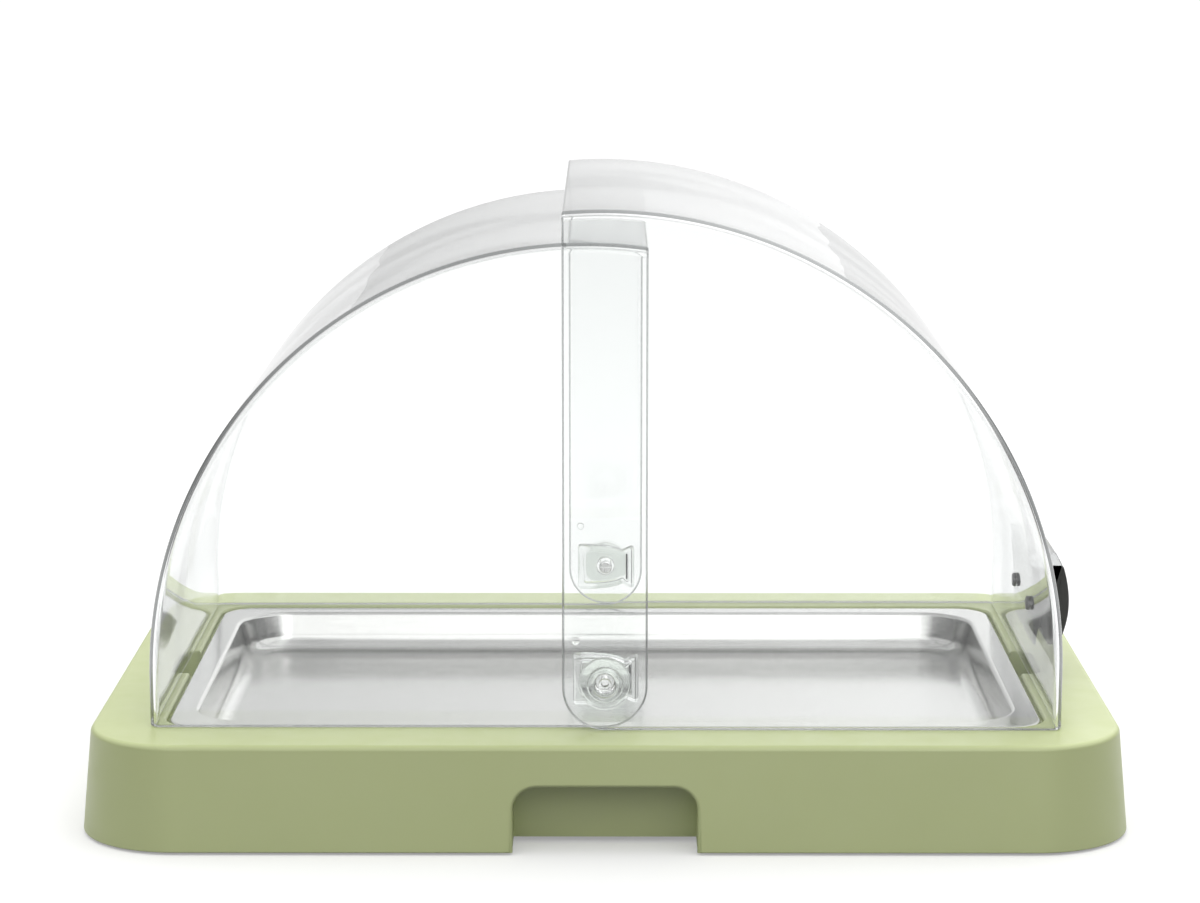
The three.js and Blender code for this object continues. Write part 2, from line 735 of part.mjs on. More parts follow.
function pivotButton() {
  const face = outerPanelOutside + seatGap;
  const flangeTop = face + buttonFlangeHeight;
  const top = face + buttonHeight;
  const ringFloor = top - buttonRingDepth;
  const head = solidOf(turned([
    [0, shankEnd], [pivotShankRadius, shankEnd], [pivotShankRadius, face],
    [buttonFlangeRadius, face], [buttonFlangeRadius, flangeTop - buttonChamfer],
    [buttonFlangeRadius - buttonChamfer, flangeTop], [buttonRadius, flangeTop],
    [buttonRadius, top - buttonChamfer], [buttonRadius - buttonChamfer, top],
    [buttonRadius - buttonRimWidth, top], [buttonRadius - buttonRimWidth - buttonChamfer, ringFloor],
    [buttonStudRadius, ringFloor], [buttonStudRadius - buttonStudChamfer, ringFloor + buttonStudHeight],
    [0, ringFloor + buttonStudHeight],
  ]));
  const pilot = rodZ(
    pivotScrewRadius + seatGap, 0, 0, shankEnd - cutOverrun, shankEnd + pivotScrewLength, smallRoundSides,
  );
  return cut(head, pilot).rotate([90, 0, 0]);
}

function pivotWasher() {
  const ring = rodY(washerRadius, 0, 0, -outerPanelInside + seatGap, -innerPanelOutside - seatGap);
  const bore = rodY(
    pivotShankRadius + pivotRunning, 0, 0, -outerPanelInside - cutOverrun, -innerPanelOutside + cutOverrun,
  );
  return cut(ring, bore);
}

// The clip inside the dome: a block with a waist and a flared tail
function clipShape(inset) {
  const top = clipHalfHeight - inset;
  const back = -clipBackReach + inset;
  const tail = clipTailReach - inset;
  const waist = clipWaistHalfHeight - inset;
  const corner = clipCornerRadius;
  const shape = new THREE.Shape();
  shape.moveTo(back + corner, -top);
  shape.quadraticCurveTo(clipWaistReach / 2, -top, clipWaistReach, -waist);
  shape.lineTo(tail - corner, -top);
  shape.lineTo(tail, -top + corner);
  shape.lineTo(tail, top - corner);
  shape.lineTo(tail - corner, top);
  shape.lineTo(clipWaistReach, waist);
  shape.quadraticCurveTo(clipWaistReach / 2, top, back + corner, top);
  shape.lineTo(back, top - corner);
  shape.lineTo(back, -top + corner);
  return shape;
}

function pivotClip() {
  const from = -innerPanelInside + seatGap;
  const to = from + clipThickness;
  const block = prismY(clipShape(0), from, to, 0, filletSteps);
  const recess = prismY(clipShape(clipRim), -clipSeat, to + cutOverrun, 0, filletSteps);
  const socket = rodY(pivotShankRadius + seatGap, 0, 0, from - cutOverrun, -clipSeat - clipFloor);
  const screwHole = rodY(pivotScrewRadius + seatGap, 0, 0, from, to, smallRoundSides);
  return cut(block, recess, socket, screwHole);
}

function pivotScrew() {
  return panScrew(pivotScrewRadius, pivotScrewHeadRadius, pivotScrewHeadHeight, pivotScrewLength)
    .rotate([90, 0, 0]).translate([0, -clipSeat + seatGap, 0]);
}

// Handle. X is taken from the upright foot of the arch, Z from the pivot axis.

function handleScrewPlaces() {
  const y = handleLength / 2 - handleScrewInset;
  return [-y, y];
}

// Outside of the arch at a height, as an offset from its upright foot
function archOffset(z) {
  if (z <= outerArchRise) return 0;
  return Math.sqrt(outerArchRadius ** 2 - (z - outerArchRise) ** 2) - outerArchRadius;
}

// The proud side of the handle: a smooth swell through the crown
function handleSwell(z, inset) {
  const above = (z - handleCrown) / (handleTop - handleCrown);
  const below = (handleCrown - z) / (handleCrown + handleBottom);
  const drop = z > handleCrown
    ? (handleProud - handleTopProud) * above ** 2
    : (handleProud - handleLipProud) * below ** 2;
  return handleProud - drop - inset;
}

function handleGripShape() {
  const face = padThickness + 2 * seatGap;
  const points = [];
  for (let step = 0; step <= 2 * handleSteps; step += 1) {
    const z = -handleBottom + ((handleTop + handleBottom) * step) / (2 * handleSteps);
    points.push(new THREE.Vector2(handleSwell(z, 0), z));
  }
  points.push(new THREE.Vector2(face + archOffset(handleTop), handleTop));
  points.push(new THREE.Vector2(face + archOffset(handleScrewRise), handleScrewRise));
  points.push(new THREE.Vector2(face, fingerGapTop));
  const shoulder = handleSwell(fingerGapTop, handleLipThickness);
  points.push(new THREE.Vector2((face + shoulder) / 2, fingerGapTop + handleLipThickness / 2));
  for (let step = 0; step <= handleSteps; step += 1) {
    const z = fingerGapTop - ((fingerGapTop + handleBottom) * step) / handleSteps;
    points.push(new THREE.Vector2(handleSwell(z, handleLipThickness), z));
  }
  return new THREE.Shape(points);
}

function handleGrip() {
  const grip = prismY(handleGripShape(), -handleLength / 2, handleLength / 2, handleEdgeRadius);
  const from = padThickness - cutOverrun;
  const bores = handleScrewPlaces().map((y) => rodX(
    handleScrewRadius + seatGap, y, handleScrewRise, from, handleScrewEnd() + seatGap, smallRoundSides,
  ));
  return cut(grip, ...bores).translate([archFoot, 0, pivotZ]);
}

function handleScrewEnd() {
  return padThickness + handleScrewGrip;
}

// A clear pad between arch and grip, with a wedge that runs out above the grip
function handlePadShape() {
  const points = [];
  for (let step = 0; step <= handleSteps; step += 1) {
    const z = -handleBottom + ((padTop + handleBottom) * step) / handleSteps;
    points.push(new THREE.Vector2(archOffset(z) + seatGap, z));
  }
  points.reverse();
  points.push(new THREE.Vector2(padThickness + seatGap, -handleBottom));
  points.push(new THREE.Vector2(padThickness + seatGap, fingerGapTop));
  points.push(new THREE.Vector2(padThickness + seatGap + archOffset(handleScrewRise), handleScrewRise));
  points.push(new THREE.Vector2(padThickness + seatGap + archOffset(padShoulder), padShoulder));
  points.push(new THREE.Vector2(padShoulderProud, padShoulder));
  points.push(new THREE.Vector2(padTopProud, padTop));
  return new THREE.Shape(points);
}

function handlePad() {
  const half = handleLength / 2 + padEdge;
  const pad = prismY(handlePadShape(), -half, half);
  const bores = handleScrewPlaces().map((y) => rodX(
    handleScrewRadius + seatGap, y, handleScrewRise, -cutOverrun, cutOverrun, smallRoundSides,
  ));
  return cut(pad, ...bores).translate([archFoot, 0, pivotZ]);
}

function handleScrew() {
  const face = archFoot - coverWall - seatGap + archOffset(handleScrewRise);
  const length = handleScrewEnd() - (face - archFoot);
  return panScrew(handleScrewRadius, handleScrewHeadRadius, handleScrewHeadHeight, length)
    .rotate([0, 90, 0]).translate([face, 0, handleScrewRise]);
}

// Assembly

const display = new THREE.Group();

function place(name, shape, material, x = 0, y = 0, z = 0) {
  const geometry = shape.isBufferGeometry ? shape : geometryOf(shape);
  const mesh = new THREE.Mesh(geometry, material);
  mesh.name = name;
  mesh.position.set(x, y, z);
  display.add(mesh);
}

place('base_housing', baseHousing(), materials.greenPlastic);
place('cooling_well', coolingWell(), materials.wellPlastic);
place('tray', tray(), materials.steel);

const packX = packHalfX + packGap / 2;
place('cold_pack_left', coldPack(), materials.packPlastic, -packX);
place('cold_pack_right', coldPack(), materials.packPlastic, packX);
place('pack_cap_left', packCap(), materials.capPlastic, -packX);
place('pack_cap_right', packCap(), materials.capPlastic, packX);

place('inner_cover', innerCover(), materials.clear);
place('outer_cover', outerCover(), materials.clear);

for (const [end, mirror] of [['front', false], ['back', true]]) {
  const turnedTo = (solid) => (mirror ? solid.mirror([0, 1, 0]) : solid);
  place(`pivot_button_${end}`, turnedTo(pivotButton()), materials.clear, 0, 0, pivotZ);
  place(`pivot_washer_${end}`, turnedTo(pivotWasher()), materials.clear, 0, 0, pivotZ);
  place(`pivot_clip_${end}`, turnedTo(pivotClip()), materials.clear, 0, 0, pivotZ);
  place(`pivot_screw_${end}`, turnedTo(pivotScrew()), materials.screwSteel, 0, 0, pivotZ);
}

place('handle_grip', handleGrip(), materials.blackPlastic);
place('handle_pad', handlePad(), materials.clear);
handleScrewPlaces().forEach((y, number) => {
  place(`handle_screw_${number + 1}`, handleScrew(), materials.screwSteel, 0, y, pivotZ);
});

footPlaces().forEach(([x, y], number) => {
  place(`foot_${number + 1}`, foot(), materials.rubber, x, y);
});
screwPlaces().forEach(([x, y], number) => {
  const screw = panScrew(screwShankRadius, screwHeadRadius, screwHeadHeight, screwLength);
  place(`well_screw_${number + 1}`, screw, materials.screwSteel, x, y, wellFlangeUnder - seatGap);
});

export default display;
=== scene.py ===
import json
import math

import bmesh
import bpy
from mathutils import Matrix, Vector


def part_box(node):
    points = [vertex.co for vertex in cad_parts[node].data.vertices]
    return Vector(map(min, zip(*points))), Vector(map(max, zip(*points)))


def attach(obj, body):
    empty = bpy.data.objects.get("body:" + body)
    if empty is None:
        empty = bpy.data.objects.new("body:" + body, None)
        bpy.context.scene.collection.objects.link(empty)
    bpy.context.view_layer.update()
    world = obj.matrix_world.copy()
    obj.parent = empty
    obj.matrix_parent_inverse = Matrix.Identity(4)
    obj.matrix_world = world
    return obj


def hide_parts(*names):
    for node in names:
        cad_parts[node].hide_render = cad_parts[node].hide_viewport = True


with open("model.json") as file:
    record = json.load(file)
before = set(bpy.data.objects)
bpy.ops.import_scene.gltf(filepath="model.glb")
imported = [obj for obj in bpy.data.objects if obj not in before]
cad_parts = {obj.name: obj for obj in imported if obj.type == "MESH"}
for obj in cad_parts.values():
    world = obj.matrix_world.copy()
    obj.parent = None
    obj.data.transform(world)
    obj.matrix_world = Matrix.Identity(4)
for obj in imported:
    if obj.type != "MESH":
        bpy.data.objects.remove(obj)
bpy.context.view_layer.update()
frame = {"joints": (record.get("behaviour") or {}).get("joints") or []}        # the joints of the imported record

# Shapes are drawn in millimetres and brought to metres when a piece is finished.
mm = 0.001
overrun = 20             # how far a cutting shape runs past what it cuts
fitGap = 0.3             # between pieces that touch
collection = bpy.context.scene.collection


def boxOf(node):
    low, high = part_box(node)
    return low / mm, high / mm


def middleOf(node):
    return [(near + far) / 2 for near, far in zip(*boxOf(node))]


coverRoll = [joint for joint in frame["joints"] if joint["name"] == "cover_roll"][0]
pivotHeight = coverRoll["pos_m"][2] / mm


# Camera, at the place that the photo was taken from

photoView = {
    "lens": 98.98,
    "sensor": 36,
    "farthest": 100,
    "place": (1.8, -2090.4, 573.1),
    "pitch": 0.1749,     # downwards
    "yaw": -0.0025,      # towards +X
}


def setCamera():
    data = bpy.data.cameras.new("photoCamera")
    data.lens = photoView["lens"]
    data.sensor_width = photoView["sensor"]
    data.clip_end = photoView["farthest"]
    camera = bpy.data.objects.new("photoCamera", data)
    camera.location = Vector(photoView["place"]) * mm
    camera.rotation_euler = (math.pi / 2 - photoView["pitch"], 0, -photoView["yaw"])
    collection.objects.link(camera)
    bpy.context.scene.camera = camera


# Node trees. A Value is a number that nodes work out, so that its sums read as plain sums.

class Value:
    def __init__(self, socket):
        self.socket = socket

    def __add__(self, other):
        return nodeMath("ADD", self, other)

    def __sub__(self, other):
        return nodeMath("SUBTRACT", self, other)

    def __rsub__(self, other):
        return nodeMath("SUBTRACT", other, self)

    def __mul__(self, other):
        return nodeMath("MULTIPLY", self, other)

    def __truediv__(self, other):
        return nodeMath("DIVIDE", self, other)

    def __mod__(self, other):
        return nodeMath("MODULO", self, other)

    def __gt__(self, other):
        return nodeMath("GREATER_THAN", self, other)

    def __lt__(self, other):
        return nodeMath("LESS_THAN", self, other)

    __radd__ = __add__
    __rmul__ = __mul__


# Links a node's output to an entry, or writes a plain value there
def feed(entry, value):
    if isinstance(value, Value):
        value = value.socket
    if isinstance(value, bpy.types.NodeSocket):
        entry.id_data.links.new(value, entry)
    else:
        entry.default_value = value


def nodeMath(operation, first, second=0.0):
    known = first if isinstance(first, Value) else second
    node = known.socket.id_data.nodes.new("ShaderNodeMath")
    node.operation = operation
    feed(node.inputs[0], first)
    feed(node.inputs[1], second)
    return Value(node.outputs[0])


# Adds a node with its entries given by name, where _ stands for a space, and returns its first output
def step(tree, kind, settings=None, **sockets):
    node = tree.nodes.new(kind)
    for name, value in (settings or {}).items():
        setattr(node, name, value)
    for label, value in sockets.items():
        feed(node.inputs[label.replace("_", " ")], value)
    return node.outputs[0]


def lookUp(tree, kind, label):
    return Value(tree.nodes.new(kind).outputs[label])


def rayKinds(tree):
    return {socket.name: Value(socket) for socket in tree.nodes.new("ShaderNodeLightPath").outputs}


# Goes from low to high as the value crosses the span
def ramp(value, span, low, high, curve="LINEAR"):
    return Value(step(value.socket.id_data, "ShaderNodeMapRange", {"interpolation_type": curve}, Value=value,
                      From_Min=span[0], From_Max=span[1], To_Min=low, To_Max=high))


def tint(share, first, second):
    mix = share.socket.id_data.nodes.new("ShaderNodeMix")
    mix.data_type = "RGBA"
    for label, colour in (("A", first), ("B", second)):
        feed(mix.inputs[label], (*colour, 1) if isinstance(colour, (tuple, list)) else colour)
    feed(mix.inputs["Factor"], share)
    return mix.outputs["Result"]


def grain(tree, perMetre, detail, stretch=(1, 1, 1)):
    place = lookUp(tree, "ShaderNodeTexCoord", "Object")
    place = step(tree, "ShaderNodeMapping", Scale=stretch, Vector=place)
    return Value(step(tree, "ShaderNodeTexNoise", Vector=place, Scale=perMetre, Detail=detail))


# The depth is in millimetres
def bump(shader, height, depth, strength=1.0, before=None):
    sockets = {"Height": height, "Distance": depth * mm, "Strength": strength}
    if before is not None:
        sockets["Normal"] = before
    normal = step(shader.id_data, "ShaderNodeBump", **sockets)
    feed(shader.inputs["Normal"], normal)
    return normal


# Wide ripples with a fine texture over them
def bumpTwice(tree, shader, sizes, fine, depth, strength):
    ripple = bump(shader, grain(tree, *sizes["ripple"]), sizes["rippleDepth"], sizes["rippleStrength"])
    bump(shader, fine, depth, strength, ripple)


def emptyMaterial(name, sockets):
    material = bpy.data.materials.new(name)
    material.use_nodes = True
    shader = material.node_tree.nodes["Principled BSDF"]
    for socket, value in sockets.items():
        shader.inputs[socket].default_value = value
    return material, material.node_tree, shader


# Materials. A grain is how many there are in a metre, and in how much detail.

noiseSpan = (0.3, 0.7)       # where most of a noise texture's values lie

plastic = {
    "clouds": (9, 3),
    "wear": (60, 4),
    "wearSpread": 0.05,
    "ripple": (22, 1),
    "rippleDepth": 0.35,
    "rippleStrength": 0.25,
    "fine": (1400, 2),
    "fineStrength": 0.6,
}


def mouldedPlastic(name, light, dark, roughness, fineDepth=0.05, gloss=0.5):
    material, tree, shader = emptyMaterial(name, {"Specular IOR Level": gloss})
    clouds = ramp(grain(tree, *plastic["clouds"]), noiseSpan, 0, 1)
    feed(shader.inputs["Base Color"], tint(clouds, dark, light))
    wear, spread = grain(tree, *plastic["wear"]), plastic["wearSpread"]
    feed(shader.inputs["Roughness"], ramp(wear, noiseSpan, roughness - spread, roughness + spread))
    bumpTwice(tree, shader, plastic, grain(tree, *plastic["fine"]), fineDepth, plastic["fineStrength"])
    return material


greenPlastic = mouldedPlastic("greenPlastic", (0.545, 0.610, 0.295), (0.520, 0.583, 0.277), 0.38, gloss=0.9)
wellPlastic = mouldedPlastic("wellPlastic", (0.350, 0.392, 0.190), (0.320, 0.362, 0.172), 0.5)
blackPlastic = mouldedPlastic("blackPlastic", (0.026, 0.026, 0.025), (0.020, 0.020, 0.019), 0.34, 0.08)
packPlastic = mouldedPlastic("packPlastic", (0.74, 0.81, 0.86), (0.68, 0.76, 0.82), 0.45)
capPlastic = mouldedPlastic("capPlastic", (0.16, 0.29, 0.42), (0.13, 0.25, 0.37), 0.4)
footRubber = mouldedPlastic("footRubber", (0.040, 0.042, 0.040), (0.030, 0.031, 0.030), 0.75, 0.12, 0.3)

steel = {
    "streaks": (700, 3),
    "streakShade": 0.94,
    "streakSpread": (-0.04, 0.05),
    "streakStrength": 0.4,
    "ripple": (7, 1),
    "rippleDepth": 0.6,
    "rippleStrength": 0.25,
}


def brushedSteel(name, colour, roughness, stretch, brushDepth):
    material, tree, shader = emptyMaterial(name, {"Metallic": 1.0})
    streaks = grain(tree, *steel["streaks"], stretch)
    darker = [value * steel["streakShade"] for value in colour]
    feed(shader.inputs["Base Color"], tint(ramp(streaks, noiseSpan, 0, 1), darker, colour))
    smoothest, roughest = steel["streakSpread"]
    feed(shader.inputs["Roughness"], ramp(streaks, noiseSpan, roughness + smoothest, roughness + roughest))
    bumpTwice(tree, shader, steel, streaks, brushDepth, steel["streakStrength"])
    return material


traySteel = brushedSteel("traySteel", (0.58, 0.58, 0.57), 0.15, (0.03, 1, 1), 0.002)
screwSteel = brushedSteel("screwSteel", (0.80, 0.80, 0.80), 0.25, (1, 1, 0.1), 0.01)
darkSteel = brushedSteel("darkSteel", (0.20, 0.20, 0.205), 0.35, (1, 1, 0.1), 0.01)

# Clear plastic, greyer at a glancing angle, partly for its longer path through the sheet and partly as
# painted shade for dark edges, and greyer along its moulded rim as painted shade. Its shadow is left open,
# so that light reaches the tray. Light caught inside a sheet, or that has crossed many, goes straight on;
# caught light is dimmed to a grey, painted shade for the dark lines along the fillets.
clear = {
    "roughness": 0.01,
    "refraction": 1.49,
    "ripple": (6, 1),
    "face": (0.952, 0.959, 0.957),
    # Greys at a glancing angle: partly the sheet's longer path, partly painted shade for dark edges
    "coverEdgeTintAndShade": (0.66, 0.675, 0.675),
    "partEdgeTintAndShade": (0.62, 0.635, 0.63),
    "edgePower": 2.0,        # how late the edge colour comes in
    # Painted shade along the rounded moulded rim
    "rim": (0.46, 0.47, 0.47),
    "shadow": (0.93, 0.94, 0.93),
    # Painted shade: light caught inside a sheet leaves dimmed to these greys, darkening the fillet lines
    "coverCaughtShade": (0.34, 0.35, 0.35),
    "partCaughtShade": (0.66, 0.67, 0.67),
    "mostTurns": 2.5,
    "mostCrossed": 8.5,
    "coverRipple": 0.8,
    "partRipple": 0.1,
}


def clearSheet(name, rippleDepth, edgeTintAndShade, caughtShade):
    material, tree, shader = emptyMaterial(name, {
        "Roughness": clear["roughness"], "IOR": clear["refraction"], "Transmission Weight": 1.0,
    })
    # The sheet's colour greys towards a glancing angle, partly painted shade for its dark edges
    glancing = nodeMath("POWER", lookUp(tree, "ShaderNodeLayerWeight", "Facing"), clear["edgePower"])
    rim = tree.nodes.new("ShaderNodeAttribute")
    rim.attribute_name = "rim"
    sheet = tint(glancing, clear["face"], edgeTintAndShade)
    # Faces marked as rim are greyed: painted shade for the dark edge lines
    feed(shader.inputs["Base Color"], tint(Value(rim.outputs["Fac"]), sheet, clear["rim"]))
    bump(shader, grain(tree, *clear["ripple"]), rippleDepth)
    ray = rayKinds(tree)
    inside = lookUp(tree, "ShaderNodeNewGeometry", "Backfacing")
    caught = inside * ray["Is Reflection Ray"] * (ray["Glossy Depth"] > clear["mostTurns"])
    crossed = ray["Transmission Depth"] > clear["mostCrossed"]
    # Caught light goes straight on dimmed to grey, painted shade in the fillet lines
    straight = step(tree, "ShaderNodeBsdfTransparent", Color=tint(caught, clear["shadow"], caughtShade))
    passing = nodeMath("MAXIMUM", ray["Is Shadow Ray"], nodeMath("MAXIMUM", caught, crossed))
    mix = tree.nodes.new("ShaderNodeMixShader")
    for entry, value in zip(mix.inputs, (passing, shader.outputs["BSDF"], straight)):
        feed(entry, value)
    feed(tree.nodes["Material Output"].inputs["Surface"], mix.outputs["Shader"])
    return material


coverClear = clearSheet("coverClear", clear["coverRipple"], clear["coverEdgeTintAndShade"], clear["coverCaughtShade"])
partClear = clearSheet("partClear", clear["partRipple"], clear["partEdgeTintAndShade"], clear["partCaughtShade"])
print("materials made")


# Mesh helpers

def makeObject(name, points, faces):
    mesh = bpy.data.meshes.new(name)
    mesh.from_pydata(points, [], faces)
    obj = bpy.data.objects.new(name, mesh)
    collection.objects.link(obj)
    return obj


def bake(obj):
    bpy.context.view_layer.update()
    graph = bpy.context.evaluated_depsgraph_get()
    mesh = bpy.data.meshes.new_from_object(obj.evaluated_get(graph))
    spent = obj.data
    obj.modifiers.clear()
    obj.data = mesh
    bpy.data.meshes.remove(spent)
    return obj


def combine(obj, operation, *others):
    for other in others:
        modifier = obj.modifiers.new("combine", "BOOLEAN")
        modifier.operation = operation
        modifier.solver = "MANIFOLD"
        modifier.object = other
    bake(obj)
    for other in others:
        bpy.data.objects.remove(other)
    return obj


def cut(obj, *others):
    return combine(obj, "DIFFERENCE", *others)


def join(obj, *others):
    return combine(obj, "UNION", *others)


smoothing = {"sharpFrom": 32, "flatWeight": 80}     # degrees, and how far large faces rule


def finishPiece(obj, body, slotName, material, *nodes):
    mesh = obj.data
    mesh.transform(Matrix.Scale(mm, 4))
    mesh.shade_smooth()
    mesh.set_sharp_from_angle(angle=math.radians(smoothing["sharpFrom"]))
    mesh.materials.clear()
    mesh.materials.append(material)
    weighted = obj.modifiers.new("flatFaces", "WEIGHTED_NORMAL")
    weighted.keep_sharp = True
    weighted.weight = smoothing["flatWeight"]
    bake(obj)
    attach(obj, body)
    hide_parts(*nodes)
    return obj


def moved(obj, matrix):
    obj.data.transform(matrix)
    if matrix.determinant() < 0:
        obj.data.flip_normals()
    return obj


# A rounded rectangle, anticlockwise seen from above
def roundedRing(halfX, halfY, radius, z, steps=14, middle=(0, 0)):
    ring = []
    for corner, (sideX, sideY) in enumerate(((1, 1), (-1, 1), (-1, -1), (1, -1))):
        for count in range(steps + 1):
            angle = math.pi / 2 * (corner + count / steps)
            ring.append(Vector((
                middle[0] + sideX * (halfX - radius) + radius * math.cos(angle),
                middle[1] + sideY * (halfY - radius) + radius * math.sin(angle),
                z,
            )))
    return ring


# Skins a stack of rings, each anticlockwise seen from the last one, and closes both ends
def loft(name, rings):
    count = len(rings[0])
    points = [point for ring in rings for point in ring]
    faces = [tuple(reversed(range(count)))]
    for row in range(len(rings) - 1):
        low = row * count
        for column in range(count):
            following = (column + 1) % count
            faces.append((low + column, low + following, low + count + following, low + count + column))
    faces.append(tuple(range(len(points) - count, len(points))))
    return makeObject(name, points, faces)


# A quarter round from a wall to its top, as pairs of inset and rise
def quarterRound(radius, steps):
    angles = [math.pi / 2 * count / steps for count in range(steps + 1)]
    return [(radius * (1 - math.cos(angle)), radius * math.sin(angle)) for angle in angles]


# From one end to the other with both rounded, as pairs of inset and level
def roundedEnds(start, end, edge, steps):
    towards = math.copysign(1, end - start)
    rounding = [(inset, towards * (edge - rise)) for inset, rise in quarterRound(edge, steps)]
    near = [(inset, start + depth) for inset, depth in reversed(rounding)]
    return near + [(inset, end - depth) for inset, depth in rounding]


def blockZ(name, halfX, halfY, radius, low, high, middle=(0, 0)):
    return loft(name, [roundedRing(halfX, halfY, radius, z, middle=middle) for z in (low, high)])


# A cut-out from above whose rim rolls over into the surface that it is cut in
def rimmedCut(name, halfX, halfY, radius, low, surface, rim, middle=(0, 0)):
    rings = [roundedRing(halfX, halfY, radius, low, middle=middle)]
    for outset, rise in quarterRound(rim, 6):
        rings.append(roundedRing(
            halfX + outset, halfY + outset, radius + outset, surface - rim + rise, middle=middle))
    rings.append(roundedRing(halfX + rim, halfY + rim, radius + rim, surface + overrun, middle=middle))
    return loft(name, rings)


def boxBlock(name, low, high):
    corners = [(low[0], low[1]), (high[0], low[1]), (high[0], high[1]), (low[0], high[1])]
    return loft(name, [[Vector((x, y, z)) for x, y in corners] for z in (low[2], high[2])])


# A place on a curve that leaves the start towards the bend and comes to the end from it
def between(start, bend, end, share):
    return start * (1 - share) ** 2 + bend * 2 * share * (1 - share) + end * share ** 2


# A flat outline of X and Z, with each corner sharper than the limit replaced by a small curve, which
# takes up less than half of each side
def softCorners(outline, radius, steps=5, limit=0.4):
    result, mostOfSide = [], 0.45
    for place, point in enumerate(outline):
        before = outline[place - 1] - point
        after = outline[(place + 1) % len(outline)] - point
        turn = math.pi - before.angle(after)
        if turn < limit:
            result.append(point)
            continue
        reach = min(radius * math.tan(turn / 2), mostOfSide * before.length, mostOfSide * after.length)
        start = point + before.normalized() * reach
        end = point + after.normalized() * reach
        result += [between(start, point, end, count / steps) for count in range(steps + 1)]
    return result


# The inset at a sharp corner is kept from running far out
def insetOutline(outline, inset):
    result, leastMitre = [], 0.4
    for place, point in enumerate(outline):
        before = (point - outline[place - 1]).normalized()
        after = (outline[(place + 1) % len(outline)] - point).normalized()
        inwards = Vector((-before.y - after.y, before.x + after.x)).normalized()
        mitre = max(leastMitre, inwards.dot(Vector((-before.y, before.x))))
        result.append(point + inwards * inset / mitre)
    return result


# An anticlockwise outline of X and Z run along Y, with its two end edges rounded
def prismY(name, outline, front, back, edge, steps):
    loops = []
    for inset, y in roundedEnds(back, front, edge, steps):
        loop = insetOutline(outline, inset) if inset > 0 else outline
        loops.append([Vector((point.x, y, point.y)) for point in loop])
    return loft(name, loops)


# A turned piece about +Z from pairs of radius and height, which start and end on the axis
def turned(name, profile, sides, rounding=0.0):
    profile = [Vector(pair) for pair in profile]
    onAxis = 1e-4
    if rounding > 0:
        soft = softCorners(profile, rounding, steps=4)
        first, last = profile[0], profile[-1]
        profile = [first] + [point for point in soft if point.x > onAxis] + [last]
    body = [point for point in profile if point.x > onAxis]
    points = [Vector((0, 0, profile[0].y))]
    for point in body:
        for side in range(sides):
            angle = 2 * math.pi * side / sides
            points.append(Vector((point.x * math.cos(angle), point.x * math.sin(angle), point.y)))
    points.append(Vector((0, 0, profile[-1].y)))
    faces = []
    for side in range(sides):
        following = (side + 1) % sides
        faces.append((0, 1 + following, 1 + side))
        for row in range(len(body) - 1):
            low = 1 + row * sides
            faces.append((low + side, low + following, low + sides + following, low + sides + side))
        faces.append((len(points) - 1, len(points) - 1 - sides + side, len(points) - 1 - sides + following))
    return makeObject(name, points, faces)


def rod(name, radius, low, high, sides):
    return turned(name, [(0, low), (radius, low), (radius, high), (0, high)], sides)


def rodsAt(places, radius, low, high, sides=48):
    return [moved(rod("rod", radius, low, high, sides), Matrix.Translation((x, y, 0))) for x, y in places]


toFront = Matrix.Rotation(math.pi / 2, 4, "X")     # turns +Z to -Y
toRight = Matrix.Rotation(math.pi / 2, 4, "Y")     # turns +Z to +X
frontToBack = Matrix.Scale(-1, 4, (0, 1, 0))       # mirrors -Y to +Y


# Node trees for geometry

def newTree(name, numbers, **others):
    tree = bpy.data.node_groups.new(name, "GeometryNodeTree")
    kinds = {"Geometry": "Geometry", **dict.fromkeys(numbers, "Float"), **others, "Material": "Material"}
    for label, kind in kinds.items():
        tree.interface.new_socket(label, in_out="INPUT", socket_type="NodeSocket" + kind)
    tree.interface.new_socket("Geometry", in_out="OUTPUT", socket_type="NodeSocketGeometry")
    given = {socket.name: Value(socket) for socket in tree.nodes.new("NodeGroupInput").outputs}
    return tree, given, tree.nodes.new("NodeGroupOutput").inputs


def vectorOf(tree, x=0.0, y=0.0, z=0.0):
    return step(tree, "ShaderNodeCombineXYZ", X=x, Y=y, Z=z)


def shifted(tree, geometry, x=0.0, y=0.0, z=0.0):
    return step(tree, "GeometryNodeTransform", Geometry=geometry, Translation=vectorOf(tree, x, y, z))


def meshCombine(tree, operation, first, *others):
    node = tree.nodes.new("GeometryNodeMeshBoolean")
    node.operation = operation
    node.solver = "MANIFOLD"
    feed(node.inputs["Mesh 1" if operation == "DIFFERENCE" else "Mesh 2"], first)
    for other in others:
        feed(node.inputs["Mesh 2"], other)
    return node.outputs[0]


# A closed cylinder of rings, with each point's ring and its column round the ring
def ringedCylinder(tree, columns, rings):
    mesh = step(tree, "GeometryNodeMeshCylinder", Vertices=columns, Side_Segments=rings - 1)
    index = Value(tree.nodes.new("GeometryNodeInputIndex").outputs[0])
    return mesh, nodeMath("FLOOR", index / columns), index % columns


def placeRound(tree, mesh, radius, turn, z):
    x, y = radius * nodeMath("COSINE", turn), radius * nodeMath("SINE", turn)
    return step(tree, "GeometryNodeSetPosition", Geometry=mesh, Position=vectorOf(tree, x, y, z))


# A shank along +Z that starts inside the head, by the length of the weld
def withShank(tree, given, head, sides, weld, start=0.0):
    length = given["Shank Length"]
    shank = step(tree, "GeometryNodeMeshCylinder", Vertices=sides, Radius=given["Shank Radius"],
                 Depth=length + weld)
    shank = shifted(tree, shank, z=start + (length - weld) * 0.5)
    return meshCombine(tree, "UNION", head, shank)


